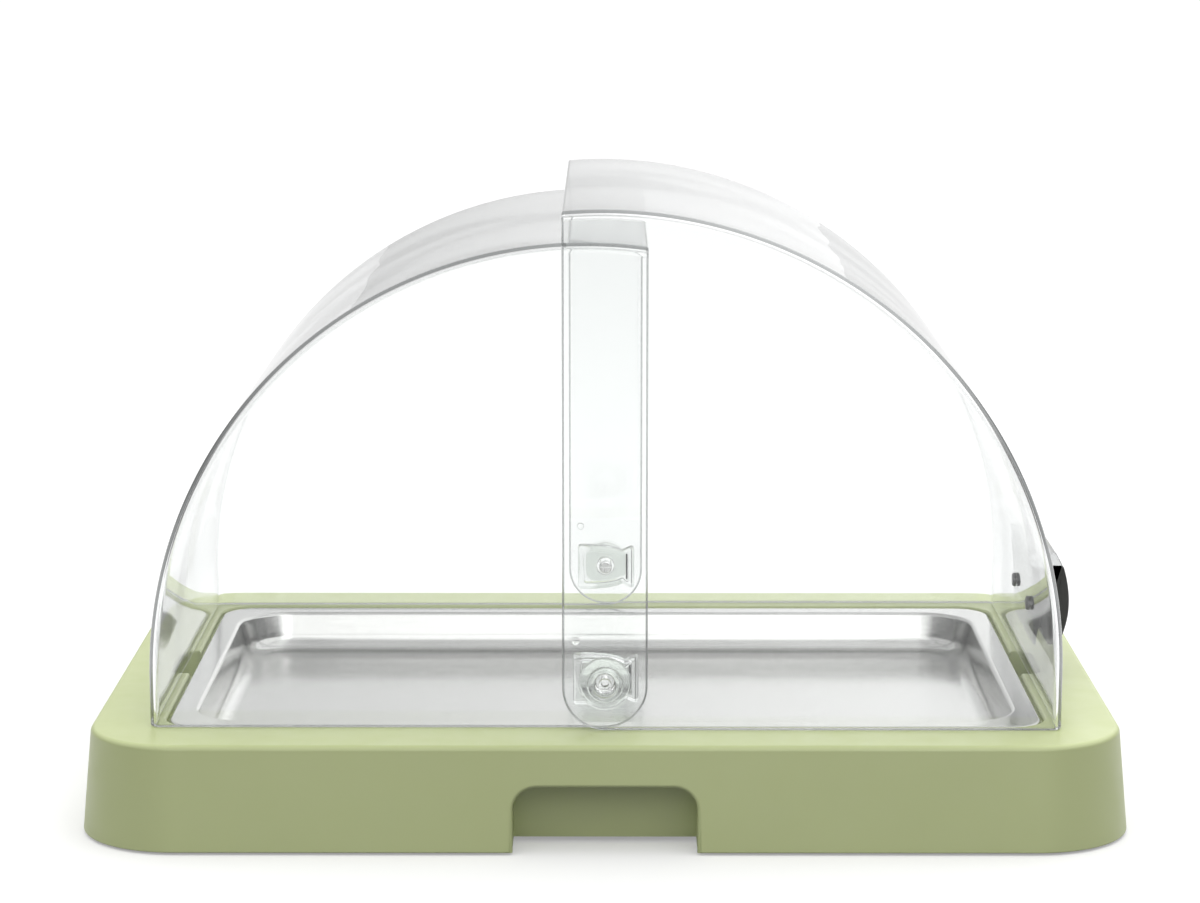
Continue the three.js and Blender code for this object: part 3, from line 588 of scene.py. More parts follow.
def endTree(tree, result, outputs, material):
    whole = step(tree, "GeometryNodeRealizeInstances", Geometry=result)
    feed(outputs["Geometry"], step(tree, "GeometryNodeSetMaterial", Geometry=whole, Material=material))
    return tree


def runTree(obj, tree, values):
    modifier = obj.modifiers.new("shape", "NODES")
    modifier.node_group = tree
    for item in tree.interface.items_tree:
        if item.in_out == "INPUT" and item.name in values:
            modifier[item.identifier] = values[item.name]
    return bake(obj)


# Tray, one sheet turned up from the floor, over the shoulder and down at the rim

trayPressing = {
    "sheet": 1,
    "rimWidth": 14.5,
    "rimDrop": 3,
    "rimCorner": 22,
    "rimEdge": 2,
    "rimBend": (1.2, 1),     # across and down, under the rim's edge
    "bodyCorner": 34,
    "shoulder": 3,
    "floorFillet": 11,
    "lean": 3,
}

trayHigh = boxOf("tray")[1]


def makeTray():
    low, high = boxOf("tray")
    sheet, rimWidth, lean = trayPressing["sheet"], trayPressing["rimWidth"], trayPressing["lean"]
    shoulder, fillet = trayPressing["shoulder"], trayPressing["floorFillet"]
    foot = low.z + sheet + fillet
    head = high.z - shoulder

    def body(out, z):
        corner = trayPressing["bodyCorner"] + out
        return roundedRing(high.x - rimWidth + out, high.y - rimWidth + out, corner, z, 20)

    def rim(out, z):
        return roundedRing(high.x + out, high.y + out, trayPressing["rimCorner"] + out, z, 20)

    rings = [body(-lean - inset, foot - rise) for inset, rise in reversed(quarterRound(fillet + sheet, 9))]
    rings.append(body(0, head))
    rings += [body(outset, head + rise) for outset, rise in quarterRound(shoulder - sheet, 6)[1:]]
    bendIn, bendDown = trayPressing["rimBend"]
    rings += [rim(-sheet - bendIn, high.z - sheet), rim(-sheet, high.z - sheet - bendDown)]
    drop = high.z - trayPressing["rimDrop"]
    rings += [rim(-sheet, drop), rim(0, drop)]
    edge = trayPressing["rimEdge"]
    rings += [rim(-inset, high.z - edge + rise) for inset, rise in quarterRound(edge, 5)]
    rings += [body(outset - sheet, head + rise) for outset, rise in reversed(quarterRound(shoulder, 6))]
    rings += [body(-sheet - lean - inset, foot - rise) for inset, rise in quarterRound(fillet, 9)]
    finishPiece(loft("tray_pressing", rings), "tray", "tray_steel", traySteel, "tray")


# Base housing, one moulding with a flared skirt, a recess for the tray and cut-outs for hands

housing = {
    "wall": 3.5,
    "flare": 6,
    "corner": 55,
    "deckEdge": 3,
    "deckEdgeInner": 1,
    "hemEdge": 0.9,
    "pocketRoom": 1.5,       # round the tray's rim
    "pocketCorner": 23.5,
    "pocketRim": 2.2,
    "ledgeReach": 9,
    "ledgeThickness": 3,
    "ledgeCorner": 22,
    "weld": 1.2,             # how far a rib or boss runs into its wall
    "handHalf": 54.5,
    "handTop": 40,
    "handCorner": 14,
    "handRim": 2.4,
    "handBack": 189,
    "handWall": 3,
    "handLift": 3.5,
    "notchNear": 259,
    "notchFar": 282.5,
    "notchHalf": 30,
    "notchCorner": 9,
    "notchDepth": 17,
    "notchWall": 3,
    "notchRim": 1.6,
    "ribThickness": 2.5,
    "ribDrop": 22,
    "ribEdge": 0.5,
    "flangeRoom": 12,        # for the well's flange, past the recess
    "endRibShares": (-0.72, -0.4, 0.4, 0.72),
    "sideRibShares": (-0.78, -0.56, -0.34, 0.34, 0.56, 0.78),
    "footBoss": 7.8,
    "footBore": 4.8,
    "screwBoss": 4.5,
    "screwBore": 2.25,
}

housingLow, housingHigh = boxOf("base_housing")
deckHeight = housingHigh.z
deckUnder = deckHeight - housing["wall"]
hem = housingLow.z
deckHalfX = housingHigh.x - housing["flare"]
deckHalfY = housingHigh.y - housing["flare"]
ledgeTop = trayHigh.z - trayPressing["rimDrop"] - fitGap
ledgeUnder = ledgeTop - housing["ledgeThickness"]
notchFloor = deckHeight - housing["notchDepth"]
pocketHalfX = trayHigh.x + housing["pocketRoom"]
pocketHalfY = trayHigh.y + housing["pocketRoom"]


footPlaces = [middleOf(f"foot_{number}")[:2] for number in range(1, 5)]
screwPlaces = [middleOf(f"well_screw_{number}")[:2] for number in range(1, 11)]


def skirtOut(z):
    return housing["flare"] * (deckHeight - z) / (deckHeight - hem)


def skirtRing(z, inset):
    out = skirtOut(z) - inset
    return roundedRing(deckHalfX + out, deckHalfY + out, housing["corner"] + out, z, 24)


def housingShell():
    edge = housing["hemEdge"]
    rings = [skirtRing(hem + edge - rise, inset) for inset, rise in reversed(quarterRound(edge, 3))]
    radius = housing["deckEdge"]
    rings += [skirtRing(deckHeight - radius + rise, inset) for inset, rise in quarterRound(radius, 8)]
    outside = loft("housing_moulding", rings)
    wall = housing["wall"]
    rings = [skirtRing(hem - overrun, wall)]
    radius = housing["deckEdgeInner"]
    rings += [skirtRing(deckUnder - radius + rise, wall + inset) for inset, rise in quarterRound(radius, 3)]
    return cut(outside, loft("cutter", rings))


# The hand cut-out, with its rim rounded where it comes out through the skirt
def handCutter(side):
    def outline(grow):
        half = housing["handHalf"] + grow
        top = housing["handTop"] + grow
        corner = housing["handCorner"] + grow
        points = [Vector((-half, -overrun)), Vector((half, -overrun))]
        for turn, middle in ((0, half - corner), (1, -half + corner)):
            for count in range(13):
                angle = math.pi / 2 * (turn + count / 12)
                points.append(Vector((
                    middle + corner * math.cos(angle), top - corner + corner * math.sin(angle))))
        return points

    rim = housing["handRim"]
    depths = [(rim, -overrun)] + [(rim - rise, depth) for depth, rise in quarterRound(rim, 6)]
    loops = []
    for grow, depth in depths:
        loops.append([Vector((p.x, -(deckHalfY + skirtOut(p.y)) + depth, p.y)) for p in outline(grow)])
    loops.append([Vector((p.x, -housing["handBack"], p.y)) for p in outline(0)])
    cutter = loft("cutter", list(reversed(loops)))
    return moved(cutter, frontToBack) if side > 0 else cutter


def handPocket(side):
    half, wall = housing["handHalf"], housing["handWall"]
    back = housing["handBack"]
    skin = deckHalfY - housing["wall"]
    outer = boxBlock("pocket", (-half - wall, -skin - housing["weld"], housing["handLift"]),
                     (half + wall, -back + wall, deckUnder + housing["weld"]))
    inner = boxBlock("cutter", (-half, -skin - overrun, -overrun), (half, -back, deckUnder))
    pocket = cut(outer, inner)
    return moved(pocket, frontToBack) if side > 0 else pocket


# Half length, half width and corner of a finger notch, grown by so much, and its middle
def notchPlan(side, grow):
    half = (housing["notchFar"] - housing["notchNear"]) / 2 + grow
    middle = (side * (housing["notchNear"] + housing["notchFar"]) / 2, 0)
    return (half, housing["notchHalf"] + grow, housing["notchCorner"] + grow), middle


def notchBlock(side, grow, low, high):
    plan, middle = notchPlan(side, grow)
    return blockZ("notch", *plan, low, high, middle)


def notchCutter(side):
    plan, middle = notchPlan(side, 0)
    return rimmedCut("cutter", *plan, notchFloor, deckHeight, housing["notchRim"], middle)


# A deck rib runs from the recess down to the skirt and keeps clear of the well's flange
def ribOutline(recessFace, skirtFace, clearOfWell):
    weld = housing["weld"]
    points = [Vector((skirtFace + weld, deckUnder + weld)), Vector((recessFace - weld, deckUnder + weld)),
              Vector((recessFace - weld, ledgeUnder))]
    start = Vector((clearOfWell, ledgeUnder))
    bend = Vector((skirtFace, ledgeUnder))
    end = Vector((skirtFace + weld, deckHeight - housing["ribDrop"]))
    return points + [between(start, bend, end, count / 8) for count in range(9)]


def ribs():
    half = housing["ribThickness"] / 2
    solids = []
    for pocketHalf, deckHalf, shares, along, turn in (
            (pocketHalfX, deckHalfX, housing["endRibShares"], pocketHalfY, 0),
            (pocketHalfY, deckHalfY, housing["sideRibShares"], pocketHalfX, math.pi / 2)):
        recess = pocketHalf + housing["wall"]
        outline = ribOutline(recess, deckHalf - housing["wall"], recess + housing["flangeRoom"] + fitGap)
        for share in shares:
            for flip in (0, math.pi):
                middle, edge = share * along, housing["ribEdge"]
                rib = prismY("rib", outline, middle - half, middle + half, edge, 3)
                solids.append(moved(rib, Matrix.Rotation(turn + flip, 4, "Z")))
    return solids


def makeHousing():
    bossTop = deckUnder + housing["weld"]
    wall = housing["wall"]
    recess = blockZ("recess", pocketHalfX + wall, pocketHalfY + wall, housing["pocketCorner"] + wall,
                    ledgeUnder, bossTop)
    padTop = footSizes["height"]
    bosses = rodsAt(footPlaces, housing["footBoss"], padTop + fitGap, bossTop)
    bosses += rodsAt(screwPlaces, housing["screwBoss"], ledgeUnder, bossTop, 32)
    notchWall = housing["notchWall"]
    notches = [notchBlock(side, notchWall, notchFloor - notchWall, bossTop) for side in (1, -1)]
    body = join(housingShell(), recess, *bosses, *ribs(), handPocket(1), handPocket(-1), *notches)
    reach = housing["ledgeReach"]
    cutters = [
        rimmedCut("cutter", pocketHalfX, pocketHalfY, housing["pocketCorner"], ledgeTop, deckHeight,
                  housing["pocketRim"]),
        blockZ("cutter", trayHigh.x - reach, trayHigh.y - reach, housing["ledgeCorner"],
               ledgeUnder - overrun, deckHeight),
        handCutter(1), handCutter(-1), notchCutter(1), notchCutter(-1),
    ]
    cutters += rodsAt(footPlaces, housing["footBore"], -overrun, padTop + footSizes["stemLength"] + fitGap)
    screwTop = boxOf("well_screw_1")[1].z + 2 * fitGap
    cutters += rodsAt(screwPlaces, housing["screwBore"], ledgeUnder - overrun, screwTop, 24)
    cut(body, *cutters)
    finishPiece(body, "base", "green_plastic", greenPlastic, "base_housing")


# Cooling well, hung under the ledge

well = {
    "wall": 2.5,
    "halfX": 252,
    "halfY": 149.5,
    "corner": 35.5,
    "floor": 10,
    "fillet": 8,
    "lean": 3,
    "flangeThickness": 3,
    "flangeCorner": 39,
    "screwHole": 2.25,
}


def makeWell():
    high = boxOf("cooling_well")[1]

    def ring(grow, inset, z):
        out = grow - inset - well["lean"] * (high.z - z) / (high.z - well["floor"])
        return roundedRing(well["halfX"] + out, well["halfY"] + out, well["corner"] + out, z)

    def skin(grow, radius, top):
        foot = well["floor"] + well["fillet"]
        rings = [ring(grow, inset, foot - rise) for inset, rise in reversed(quarterRound(radius, 7))]
        return rings + [ring(grow, 0, top)]

    outside = loft("well_moulding", skin(well["wall"], well["fillet"] + well["wall"], high.z))
    flange = blockZ("flange", high.x, high.y, well["flangeCorner"], high.z - well["flangeThickness"], high.z)
    room = housing["notchWall"] + fitGap
    cutters = [notchBlock(side, room, high.z - overrun, high.z + overrun) for side in (-1, 1)]
    cutters += rodsAt(screwPlaces, well["screwHole"], high.z - overrun, high.z + overrun, 24)
    cut(flange, *cutters)
    body = join(outside, flange)
    cut(body, loft("cutter", skin(0, well["fillet"], high.z) + [ring(0, 0, high.z + overrun)]))
    finishPiece(body, "base", "well_plastic", wellPlastic, "cooling_well")


# Cold packs with moulded grooves, and their filler caps

pack = {
    "corner": 22,
    "edge": 4,
    "grooves": 5,
    "grooveWidth": 8,
    "grooveDepth": 2.5,
    "grooveLengthShare": 0.72,
    "grooveStepShare": 0.25,
    "seat": 14.5,
    "seatDepth": 5,
    "bore": 7.3,
    "boreDepth": 14.3,
}

packCap = {
    "neck": 7,
    "head": 12,
    "headHeight": 4.7,
    "edge": 0.9,
    "gripHalfLength": 9.4,
    "gripHalfWidth": 1.5,
    "gripDepth": 1.5,
    "gripOffset": 3,
}


def grooveTree():
    tree, given, outputs = newTree(
        "packGrooves", ("Step", "Width", "Length", "Depth", "Top", "Middle"), Count="Int")
    firstX = given["Middle"] - (given["Count"] - 1) * 0.5 * given["Step"]
    row = step(tree, "GeometryNodeMeshLine", Count=given["Count"], Offset=vectorOf(tree, given["Step"]),
               Start_Location=vectorOf(tree, firstX, 0.0, given["Top"]))
    tool = step(tree, "GeometryNodeMeshUVSphere", Segments=24, Rings=16, Radius=0.5)
    size = vectorOf(tree, given["Width"], given["Length"], given["Depth"] * 2.0)
    tool = step(tree, "GeometryNodeTransform", Geometry=tool, Scale=size)
    tools = step(tree, "GeometryNodeInstanceOnPoints", Points=row, Instance=tool)
    tools = step(tree, "GeometryNodeRealizeInstances", Geometry=tools)
    grooved = meshCombine(tree, "DIFFERENCE", given["Geometry"], tools)
    return endTree(tree, grooved, outputs, given["Material"])


def makeCap(side, place):
    low, high = boxOf(f"pack_cap_{side}")
    neck, head, under = packCap["neck"], packCap["head"], high.z - packCap["headHeight"]
    cap = turned(f"filler_cap_{side}", [
        (0, low.z), (neck, low.z), (neck, under), (head, under), (head, high.z), (0, high.z),
    ], 64, packCap["edge"])
    moved(cap, Matrix.Translation((*place, 0)))
    x, y = place
    length, width, offset = packCap["gripHalfLength"], packCap["gripHalfWidth"], packCap["gripOffset"]
    floor, above = high.z - packCap["gripDepth"], high.z + overrun
    cut(cap, *[boxBlock("cutter", (x - length, middle - width, floor), (x + length, middle + width, above))
               for middle in (y - offset, y + offset)])
    finishPiece(cap, "base", "cap_plastic", capPlastic, f"pack_cap_{side}")


def makePacks():
    tree = grooveTree()
    for side in ("left", "right"):
        low, high = boxOf(f"cold_pack_{side}")
        middle, capPlace = middleOf(f"cold_pack_{side}")[:2], middleOf(f"pack_cap_{side}")[:2]
        halfX, halfY = (high.x - low.x) / 2, (high.y - low.y) / 2
        body = loft(f"ice_pack_{side}", [
            roundedRing(halfX - inset, halfY - inset, pack["corner"] - inset, z, 12, middle)
            for inset, z in roundedEnds(low.z, high.z, pack["edge"], 6)])
        cut(body, *rodsAt([capPlace], pack["seat"], high.z - pack["seatDepth"], high.z + overrun),
            *rodsAt([capPlace], pack["bore"], high.z - pack["boreDepth"], high.z + overrun))
        runTree(body, tree, {
            "Count": pack["grooves"], "Step": pack["grooveStepShare"] * halfX, "Width": pack["grooveWidth"],
            "Length": 2 * halfY * pack["grooveLengthShare"], "Depth": pack["grooveDepth"],
            "Top": high.z, "Middle": middle[0], "Material": packPlastic,
        })
        finishPiece(body, "base", "pack_plastic", packPlastic, f"cold_pack_{side}")
        makeCap(side, capPlace)


# Covers. Each is a block with an arched top, hollowed, trimmed to its free edge and bored for the pivot.
# X and Z are taken from the pivot axis, with the arch foot on +X.

covers = {
    "wall": 3.0,
    "fillet": 6.0,
    "lowerEdge": 29.0,       # pivot axis to the lower edge
    "freeEdge": 25.5,        # and to the free edge
    "rimRounding": 1.3,
    "rimWithin": 0.02,       # how near to the rim its points lie
    "cornerWithin": 0.06,
    "cornerOverlap": 0.1,
    "mergeWithin": 0.2,
    "rimSharpFrom": 1.0,     # radians
    "bore": 6.35,
    "arcPoints": 170,        # with the arc's end, these keep points clear of the free edge
    "filletSteps": 8,
    "arcEnd": 1.886,         # radians past the upright foot
    "inner": {"rise": 1.0, "radius": 262.0, "centre": 11.5, "turn": math.pi},
    "outer": {"rise": 7.5, "radius": 275.5, "centre": -2.0, "turn": 0.0},
    "pipPlace": (-17.5, 26.0),
    "pipRadius": 2.4,
    "pipHeight": 1.0,
    "pipRoot": 1.0,
    "pipWall": 0.1,
    "screwBore": 2.3,
}


def archBlock(tree, given, inset, halfWidth, fillet):
    columns, rounding = covers["arcPoints"], covers["filletSteps"]
    rings = 2 * rounding + 2
    block, ring, column = ringedCylinder(tree, columns, rings)
    angle = nodeMath("MINIMUM", ring, rings - 1 - ring) * (math.pi / 2 / rounding)
    ringInset = inset + fillet * (1.0 - nodeMath("SINE", angle))
    depth = halfWidth - fillet * (1.0 - nodeMath("COSINE", angle))
    # The first ring stands at the front end, so that the faces point outwards
    y = depth * ((ring > rings / 2 - 0.5) * 2.0 - 1.0)
    # Column 0 is the lower back corner, column 1 the lower foot, and the rest lie on the arc
    onArc = column > 1.5
    share = nodeMath("MAXIMUM", column - 2.0, 0.0) / (columns - 3.0) + (column < 0.5)
    turn = share * covers["arcEnd"]
    reach = given["Radius"] - ringInset
    x = given["Centre"] + reach * nodeMath("COSINE", turn)
    arcZ = given["Rise"] + reach * nodeMath("SINE", turn)
    z = onArc * arcZ + (1.0 - onArc) * (-overrun - given["Lower Edge"])
    return step(tree, "GeometryNodeSetPosition", Geometry=block, Position=vectorOf(tree, x, y, z))


def coverTree():
    tree, given, outputs = newTree("rollCover", (
        "Radius", "Centre", "Rise", "Half Width", "Wall", "Fillet", "Lower Edge", "Free Edge", "Bore",
        "Height", "Turn"))
    wall, halfWidth, fillet = given["Wall"], given["Half Width"], given["Fillet"]
    outside = archBlock(tree, given, 0.0, halfWidth, fillet)
    inside = archBlock(tree, given, wall, halfWidth - wall, fillet - wall)
    shell = meshCombine(tree, "DIFFERENCE", outside, inside)
    reach = given["Radius"] * 2.0
    width = halfWidth * 2.0 + 2.0 * overrun
    lowerEdge, freeEdge = given["Lower Edge"], given["Free Edge"]
    cornerDrop = lowerEdge - freeEdge
    blocks = []
    for edgeX, edgeZ in ((0.0, lowerEdge), (freeEdge, cornerDrop)):
        cube = step(tree, "GeometryNodeMeshCube", Size=vectorOf(tree, reach + edgeX, width, reach + edgeZ))
        blocks.append(shifted(tree, cube, (reach - edgeX) * 0.5, 0.0, (reach - edgeZ) * 0.5))

    def crossRod(radius, sides):
        upright = step(tree, "GeometryNodeMeshCylinder", Vertices=sides, Radius=radius, Depth=width)
        return step(tree, "GeometryNodeTransform", Geometry=upright, Rotation=vectorOf(tree, math.pi / 2))

    corner = shifted(tree, crossRod(freeEdge, 128), z=cornerDrop * -1.0)
    keep = meshCombine(tree, "UNION", *blocks, corner)
    trimmed = meshCombine(tree, "INTERSECT", shell, keep)
    bored = meshCombine(tree, "DIFFERENCE", trimmed, crossRod(given["Bore"], 64))
    placed = step(tree, "GeometryNodeTransform", Geometry=bored, Rotation=vectorOf(tree, z=given["Turn"]),
                  Translation=vectorOf(tree, z=given["Height"]))
    return endTree(tree, placed, outputs, given["Material"])


# The moulded edges round the opening and along the bottom are slightly rounded
def roundedRim(obj, facing):
    freeEdge, lowerEdge, near = covers["freeEdge"], covers["lowerEdge"], covers["rimWithin"]
    corner, overlap = lowerEdge - freeEdge, covers["cornerOverlap"]

    def onRim(place):
        x, z = place.x * facing, place.z - pivotHeight
        upright = abs(x + freeEdge) < near and z > -corner - overlap
        level = abs(z + lowerEdge) < near
        swing = abs(math.hypot(x, z + corner) - freeEdge) < covers["cornerWithin"]
        return upright or level or (swing and x < near and z < overlap - corner)

    mesh = bmesh.new()
    mesh.from_mesh(obj.data)
    # The rounded faces are marked, so that the clear material greys them as painted shade
    mark = mesh.faces.layers.float.new("rim")
    doubles = [vertex for vertex in mesh.verts if onRim(vertex.co)]
    bmesh.ops.remove_doubles(mesh, verts=doubles, dist=covers["mergeWithin"])
    rim = [edge for edge in mesh.edges
           if edge.calc_face_angle(0) > covers["rimSharpFrom"]
           and all(onRim(vertex.co) for vertex in edge.verts)]
    rounded = bmesh.ops.bevel(mesh, geom=rim, offset=covers["rimRounding"], offset_type="OFFSET", segments=3,
                              profile=0.5, affect="EDGES", clamp_overlap=False)
    for face in rounded["faces"]:
        face[mark] = 1.0
        for vertex in face.verts:
            vertex.co.x = facing * max(vertex.co.x * facing, -freeEdge)
            vertex.co.z = max(vertex.co.z, pivotHeight - lowerEdge)
    mesh.to_mesh(obj.data)
    mesh.free()
    return obj


def coverBody(name, tree, shape, halfWidth):
    return runTree(makeObject(name, [], []), tree, {
        "Radius": shape["radius"], "Centre": shape["centre"], "Rise": shape["rise"],
        "Half Width": halfWidth, "Wall": covers["wall"], "Fillet": covers["fillet"],
        "Lower Edge": covers["lowerEdge"], "Free Edge": covers["freeEdge"], "Bore": covers["bore"],
        "Height": pivotHeight, "Turn": shape["turn"], "Material": coverClear,
    })


def handleBores(radius, low, high):
    y, z = middleOf("handle_screw_2")[1:]
    return [moved(rod("cutter", radius, low, high, 32), Matrix.Translation((0, side * y, z)) @ toRight)
            for side in (-1, 1)]


def pips(panelFace):
    radius, height, root = covers["pipRadius"], covers["pipHeight"], covers["pipRoot"]
    angles = [math.pi / 2 * count / 6 for count in range(1, 6)]
    profile = [(0, -root), (radius, -root), (radius, covers["pipWall"])]
    profile += [(radius * math.cos(angle), height * math.sin(angle)) for angle in angles] + [(0, height)]
    x, rise = covers["pipPlace"]
    return [moved(turned("pip", profile, 32), Matrix.Translation((x, side * panelFace, pivotHeight + rise))
                  @ Matrix.Rotation(-side * math.pi / 2, 4, "X")) for side in (-1, 1)]


def makeCovers():
    tree = coverTree()
    inner = coverBody("clear_inner_cover", tree, covers["inner"], boxOf("inner_cover")[1].y)
    finishPiece(roundedRim(inner, -1), "dome", "clear_plastic", coverClear, "inner_cover")
    outerHigh = boxOf("outer_cover")[1]
    panelFace = outerHigh.y - covers["pipHeight"]
    outer = coverBody("clear_outer_cover", tree, covers["outer"], panelFace)
    cut(outer, *handleBores(covers["screwBore"], outerHigh.x - overrun, outerHigh.x + overrun))
    join(outer, *pips(panelFace))
    finishPiece(roundedRim(outer, 1), "roll_cover", "clear_plastic", coverClear, "outer_cover")


# Pivots, drawn for the front end. Buttons and washers are drawn about +Z and turned to the front, and
# those of the back end are mirrored.

pivot = {
    "shank": 6.0,
    "flange": 16.0,
    "flangeHeight": 1.8,
    "button": 10.5,
    "rim": 2.5,
    "ringDepth": 1.4,
    "ringSlope": 0.6,
    "stud": 4.0,
    "studHeight": 1.0,
    "studSlope": 0.4,
    "edge": 0.6,
    "washer": 15.0,
    "washerEdge": 0.5,
    "bore": 6.35,
    "pilot": 2.3,
    "pilotDepth": 12,
}


# How near to and how far from the middle plane a piece at the front or back end reaches
def depthsOf(node):
    return sorted(abs(corner.y) for corner in boxOf(node))


def buttonAt(end, face):
    shankEnd, top = depthsOf(f"pivot_button_{end}")
    flangeTop, ringFloor = face + pivot["flangeHeight"], top - pivot["ringDepth"]
    shank, flange, button = pivot["shank"], pivot["flange"], pivot["button"]
    inside, stud, studTop = button - pivot["rim"], pivot["stud"], ringFloor + pivot["studHeight"]
    body = turned(f"pivot_cap_{end}", [
        (0, shankEnd), (shank, shankEnd), (shank, face), (flange, face), (flange, flangeTop),
        (button, flangeTop), (button, top), (inside, top), (inside - pivot["ringSlope"], ringFloor),
        (stud, ringFloor), (stud - pivot["studSlope"], studTop), (0, studTop),
    ], 96, pivot["edge"])
    return cut(body, rod("cutter", pivot["pilot"], shankEnd - overrun, shankEnd + pivot["pilotDepth"], 32))


clip = {
    "halfHeight": 15.5,
    "back": 19.0,
    "tail": 20.0,
    "waist": 11.5,
    "waistHalf": 11.5,
    "corner": 2.5,
    "softFrom": 0.6,         # radians
    "rim": 4.0,
    "recess": 4.0,
    "edge": 1.8,
    "floor": 1.6,
}


def clipOutline(inset):
    top, waist = clip["halfHeight"] - inset, clip["waistHalf"] - inset
    back, tail = -clip["back"] + inset, clip["tail"] - inset
    corner, reach = clip["corner"], clip["waist"]
    shares = [count / 8 for count in range(9)]
    upper = [Vector((between(back + corner, reach / 2, reach, share), between(top, top, waist, share)))
             for share in shares]
    lower = [Vector((point.x, -point.y)) for point in upper]
    outline = [Vector((back, -top))] + lower[1:] + [Vector((tail, -top)), Vector((tail, top))]
    outline += list(reversed(upper))[:-1] + [Vector((back, top))]
    return softCorners(outline, corner, limit=clip["softFrom"])


def clipAt(end):
    near, far = depthsOf(f"pivot_clip_{end}")
    seat = near + clip["recess"]
    block = prismY(f"clear_clip_{end}", clipOutline(0), -far, -near, clip["edge"], 5)
    recess = prismY("cutter", clipOutline(clip["rim"]), -seat, -near + overrun, clip["edge"], 5)
    socket = moved(rod("cutter", pivot["shank"] + fitGap, seat + clip["floor"], far + overrun, 64), toFront)
    screwHole = moved(rod("cutter", pivot["pilot"], near - overrun, far + overrun, 32), toFront)
    return cut(block, recess, socket, screwHole)


def washerAt(end):
    near, far = depthsOf(f"pivot_washer_{end}")
    radius = pivot["washer"]
    washer = turned(f"spacer_{end}", [(0, near), (radius, near), (radius, far), (0, far)], 96,
                    pivot["washerEdge"])
    return cut(washer, rod("cutter", pivot["bore"], near - overrun, far + overrun, 64))


def makePivots():
    height = Matrix.Translation((0, 0, pivotHeight))
    face = boxOf("outer_cover")[1].y - covers["pipHeight"] + fitGap
    for end, toEnd in (("front", Matrix.Identity(4)), ("back", frontToBack)):
        button = moved(buttonAt(end, face), toEnd @ height @ toFront)
        washer = moved(washerAt(end), toEnd @ height @ toFront)
        pieces = {"button": button, "washer": washer, "clip": moved(clipAt(end), toEnd @ height)}
        for node, piece in pieces.items():
            finishPiece(piece, "dome", "clear_plastic", partClear, f"pivot_{node}_{end}")


# Screws. One pan head is drawn from the rings of a cylinder, slotted, and set at each place.

panHead = {
    "crownShare": 0.7,
    "rimShare": 0.45,
    "slotWidth": 0.9,
    "slotDepth": 1.1,
    "slotReach": 3.0,        # in head radii, past both edges
    "weld": 0.5,             # how far the shank runs into the head
}
wellScrew = {"shank": 1.9, "head": 3.8, "height": 2.4}
pivotScrew = {"shank": 2.0, "length": 12.0, "head": 4.5, "height": 2.6}
handleScrew = {"shank": 2.0, "head": 4.5, "height": 2.2}


def panHeadTree():
    tree, given, outputs = newTree("panHeadScrews", (
        "Shank Radius", "Shank Length", "Head Radius", "Head Height", "Slot Width", "Slot Depth"),
        Turn="Vector")
    # The rings go from the underside, at 0, over the rounded rim to the crown
    sides, rings = 32, 10
    head, ring, column = ringedCylinder(tree, sides, rings)
    angle = nodeMath("MAXIMUM", (ring - 1.0) / (rings - 2.0), 0.0) * (math.pi / 2)
    crown, rim = panHead["crownShare"], panHead["rimShare"]
    turn = column * (-2 * math.pi / sides)
    radius = given["Head Radius"] * (crown + nodeMath("COSINE", angle) * (1 - crown))
    level = (ring > 0.5) * (1 - rim + nodeMath("SINE", angle) * rim)
    head = placeRound(tree, head, radius, turn, level * given["Head Height"] * -1.0)
    screw = withShank(tree, given, head, 24, panHead["weld"])
    slot = step(tree, "GeometryNodeMeshCube", Size=vectorOf(
        tree, given["Head Radius"] * panHead["slotReach"], given["Slot Width"], given["Slot Depth"] * 2.0))
    slot = shifted(tree, slot, z=given["Head Height"] * -1.0)
    screw = meshCombine(tree, "DIFFERENCE", screw, slot)
    spots = step(tree, "GeometryNodeInstanceOnPoints", Points=given["Geometry"], Instance=screw,
                 Rotation=given["Turn"])
    return endTree(tree, spots, outputs, given["Material"])


def screwsAt(name, tree, places, turn, sizes, body, nodes, finish=screwSteel):
    obj = makeObject(name, [Vector(place) for place in places], [])
    runTree(obj, tree, {
        "Shank Radius": sizes["shank"], "Shank Length": sizes["length"], "Head Radius": sizes["head"],
        "Head Height": sizes["height"], "Slot Width": panHead["slotWidth"],
        "Slot Depth": panHead["slotDepth"], "Turn": turn, "Material": finish,
    })
    finishPiece(obj, body, "screw_steel", finish, *nodes)


def makeScrews():
    tree = panHeadTree()
    low, high = boxOf("well_screw_1")
    underHead = low.z + wellScrew["height"]
    sizes = {**wellScrew, "length": high.z - underHead}
    screwsAt("well_screws", tree, [(x, y, underHead) for x, y in screwPlaces], (0, 0, 0), sizes, "base",
             [f"well_screw_{number}" for number in range(1, 11)])
    for end, side in (("front", -1), ("back", 1)):
        seat = (depthsOf(f"pivot_screw_{end}")[0] + pivotScrew["height"]) * side
        screwsAt(f"clip_screw_{end}", tree, [(0, seat, pivotHeight)], (-side * math.pi / 2, 0, 0),
                 pivotScrew, "dome", [f"pivot_screw_{end}"])
    low, high = boxOf("handle_screw_1")
    head = low.x + handleScrew["height"]
    sizes = {**handleScrew, "length": high.x - head}
    nodes = ["handle_screw_1", "handle_screw_2"]
    places = [(head, *middleOf(node)[1:]) for node in nodes]
    screwsAt("handle_screws", tree, places, (0, math.pi / 2, 0), sizes, "roll_cover", nodes, darkSteel)


# Handle and the clear pad behind it. X is taken from the arch foot, Z from the pivot axis.

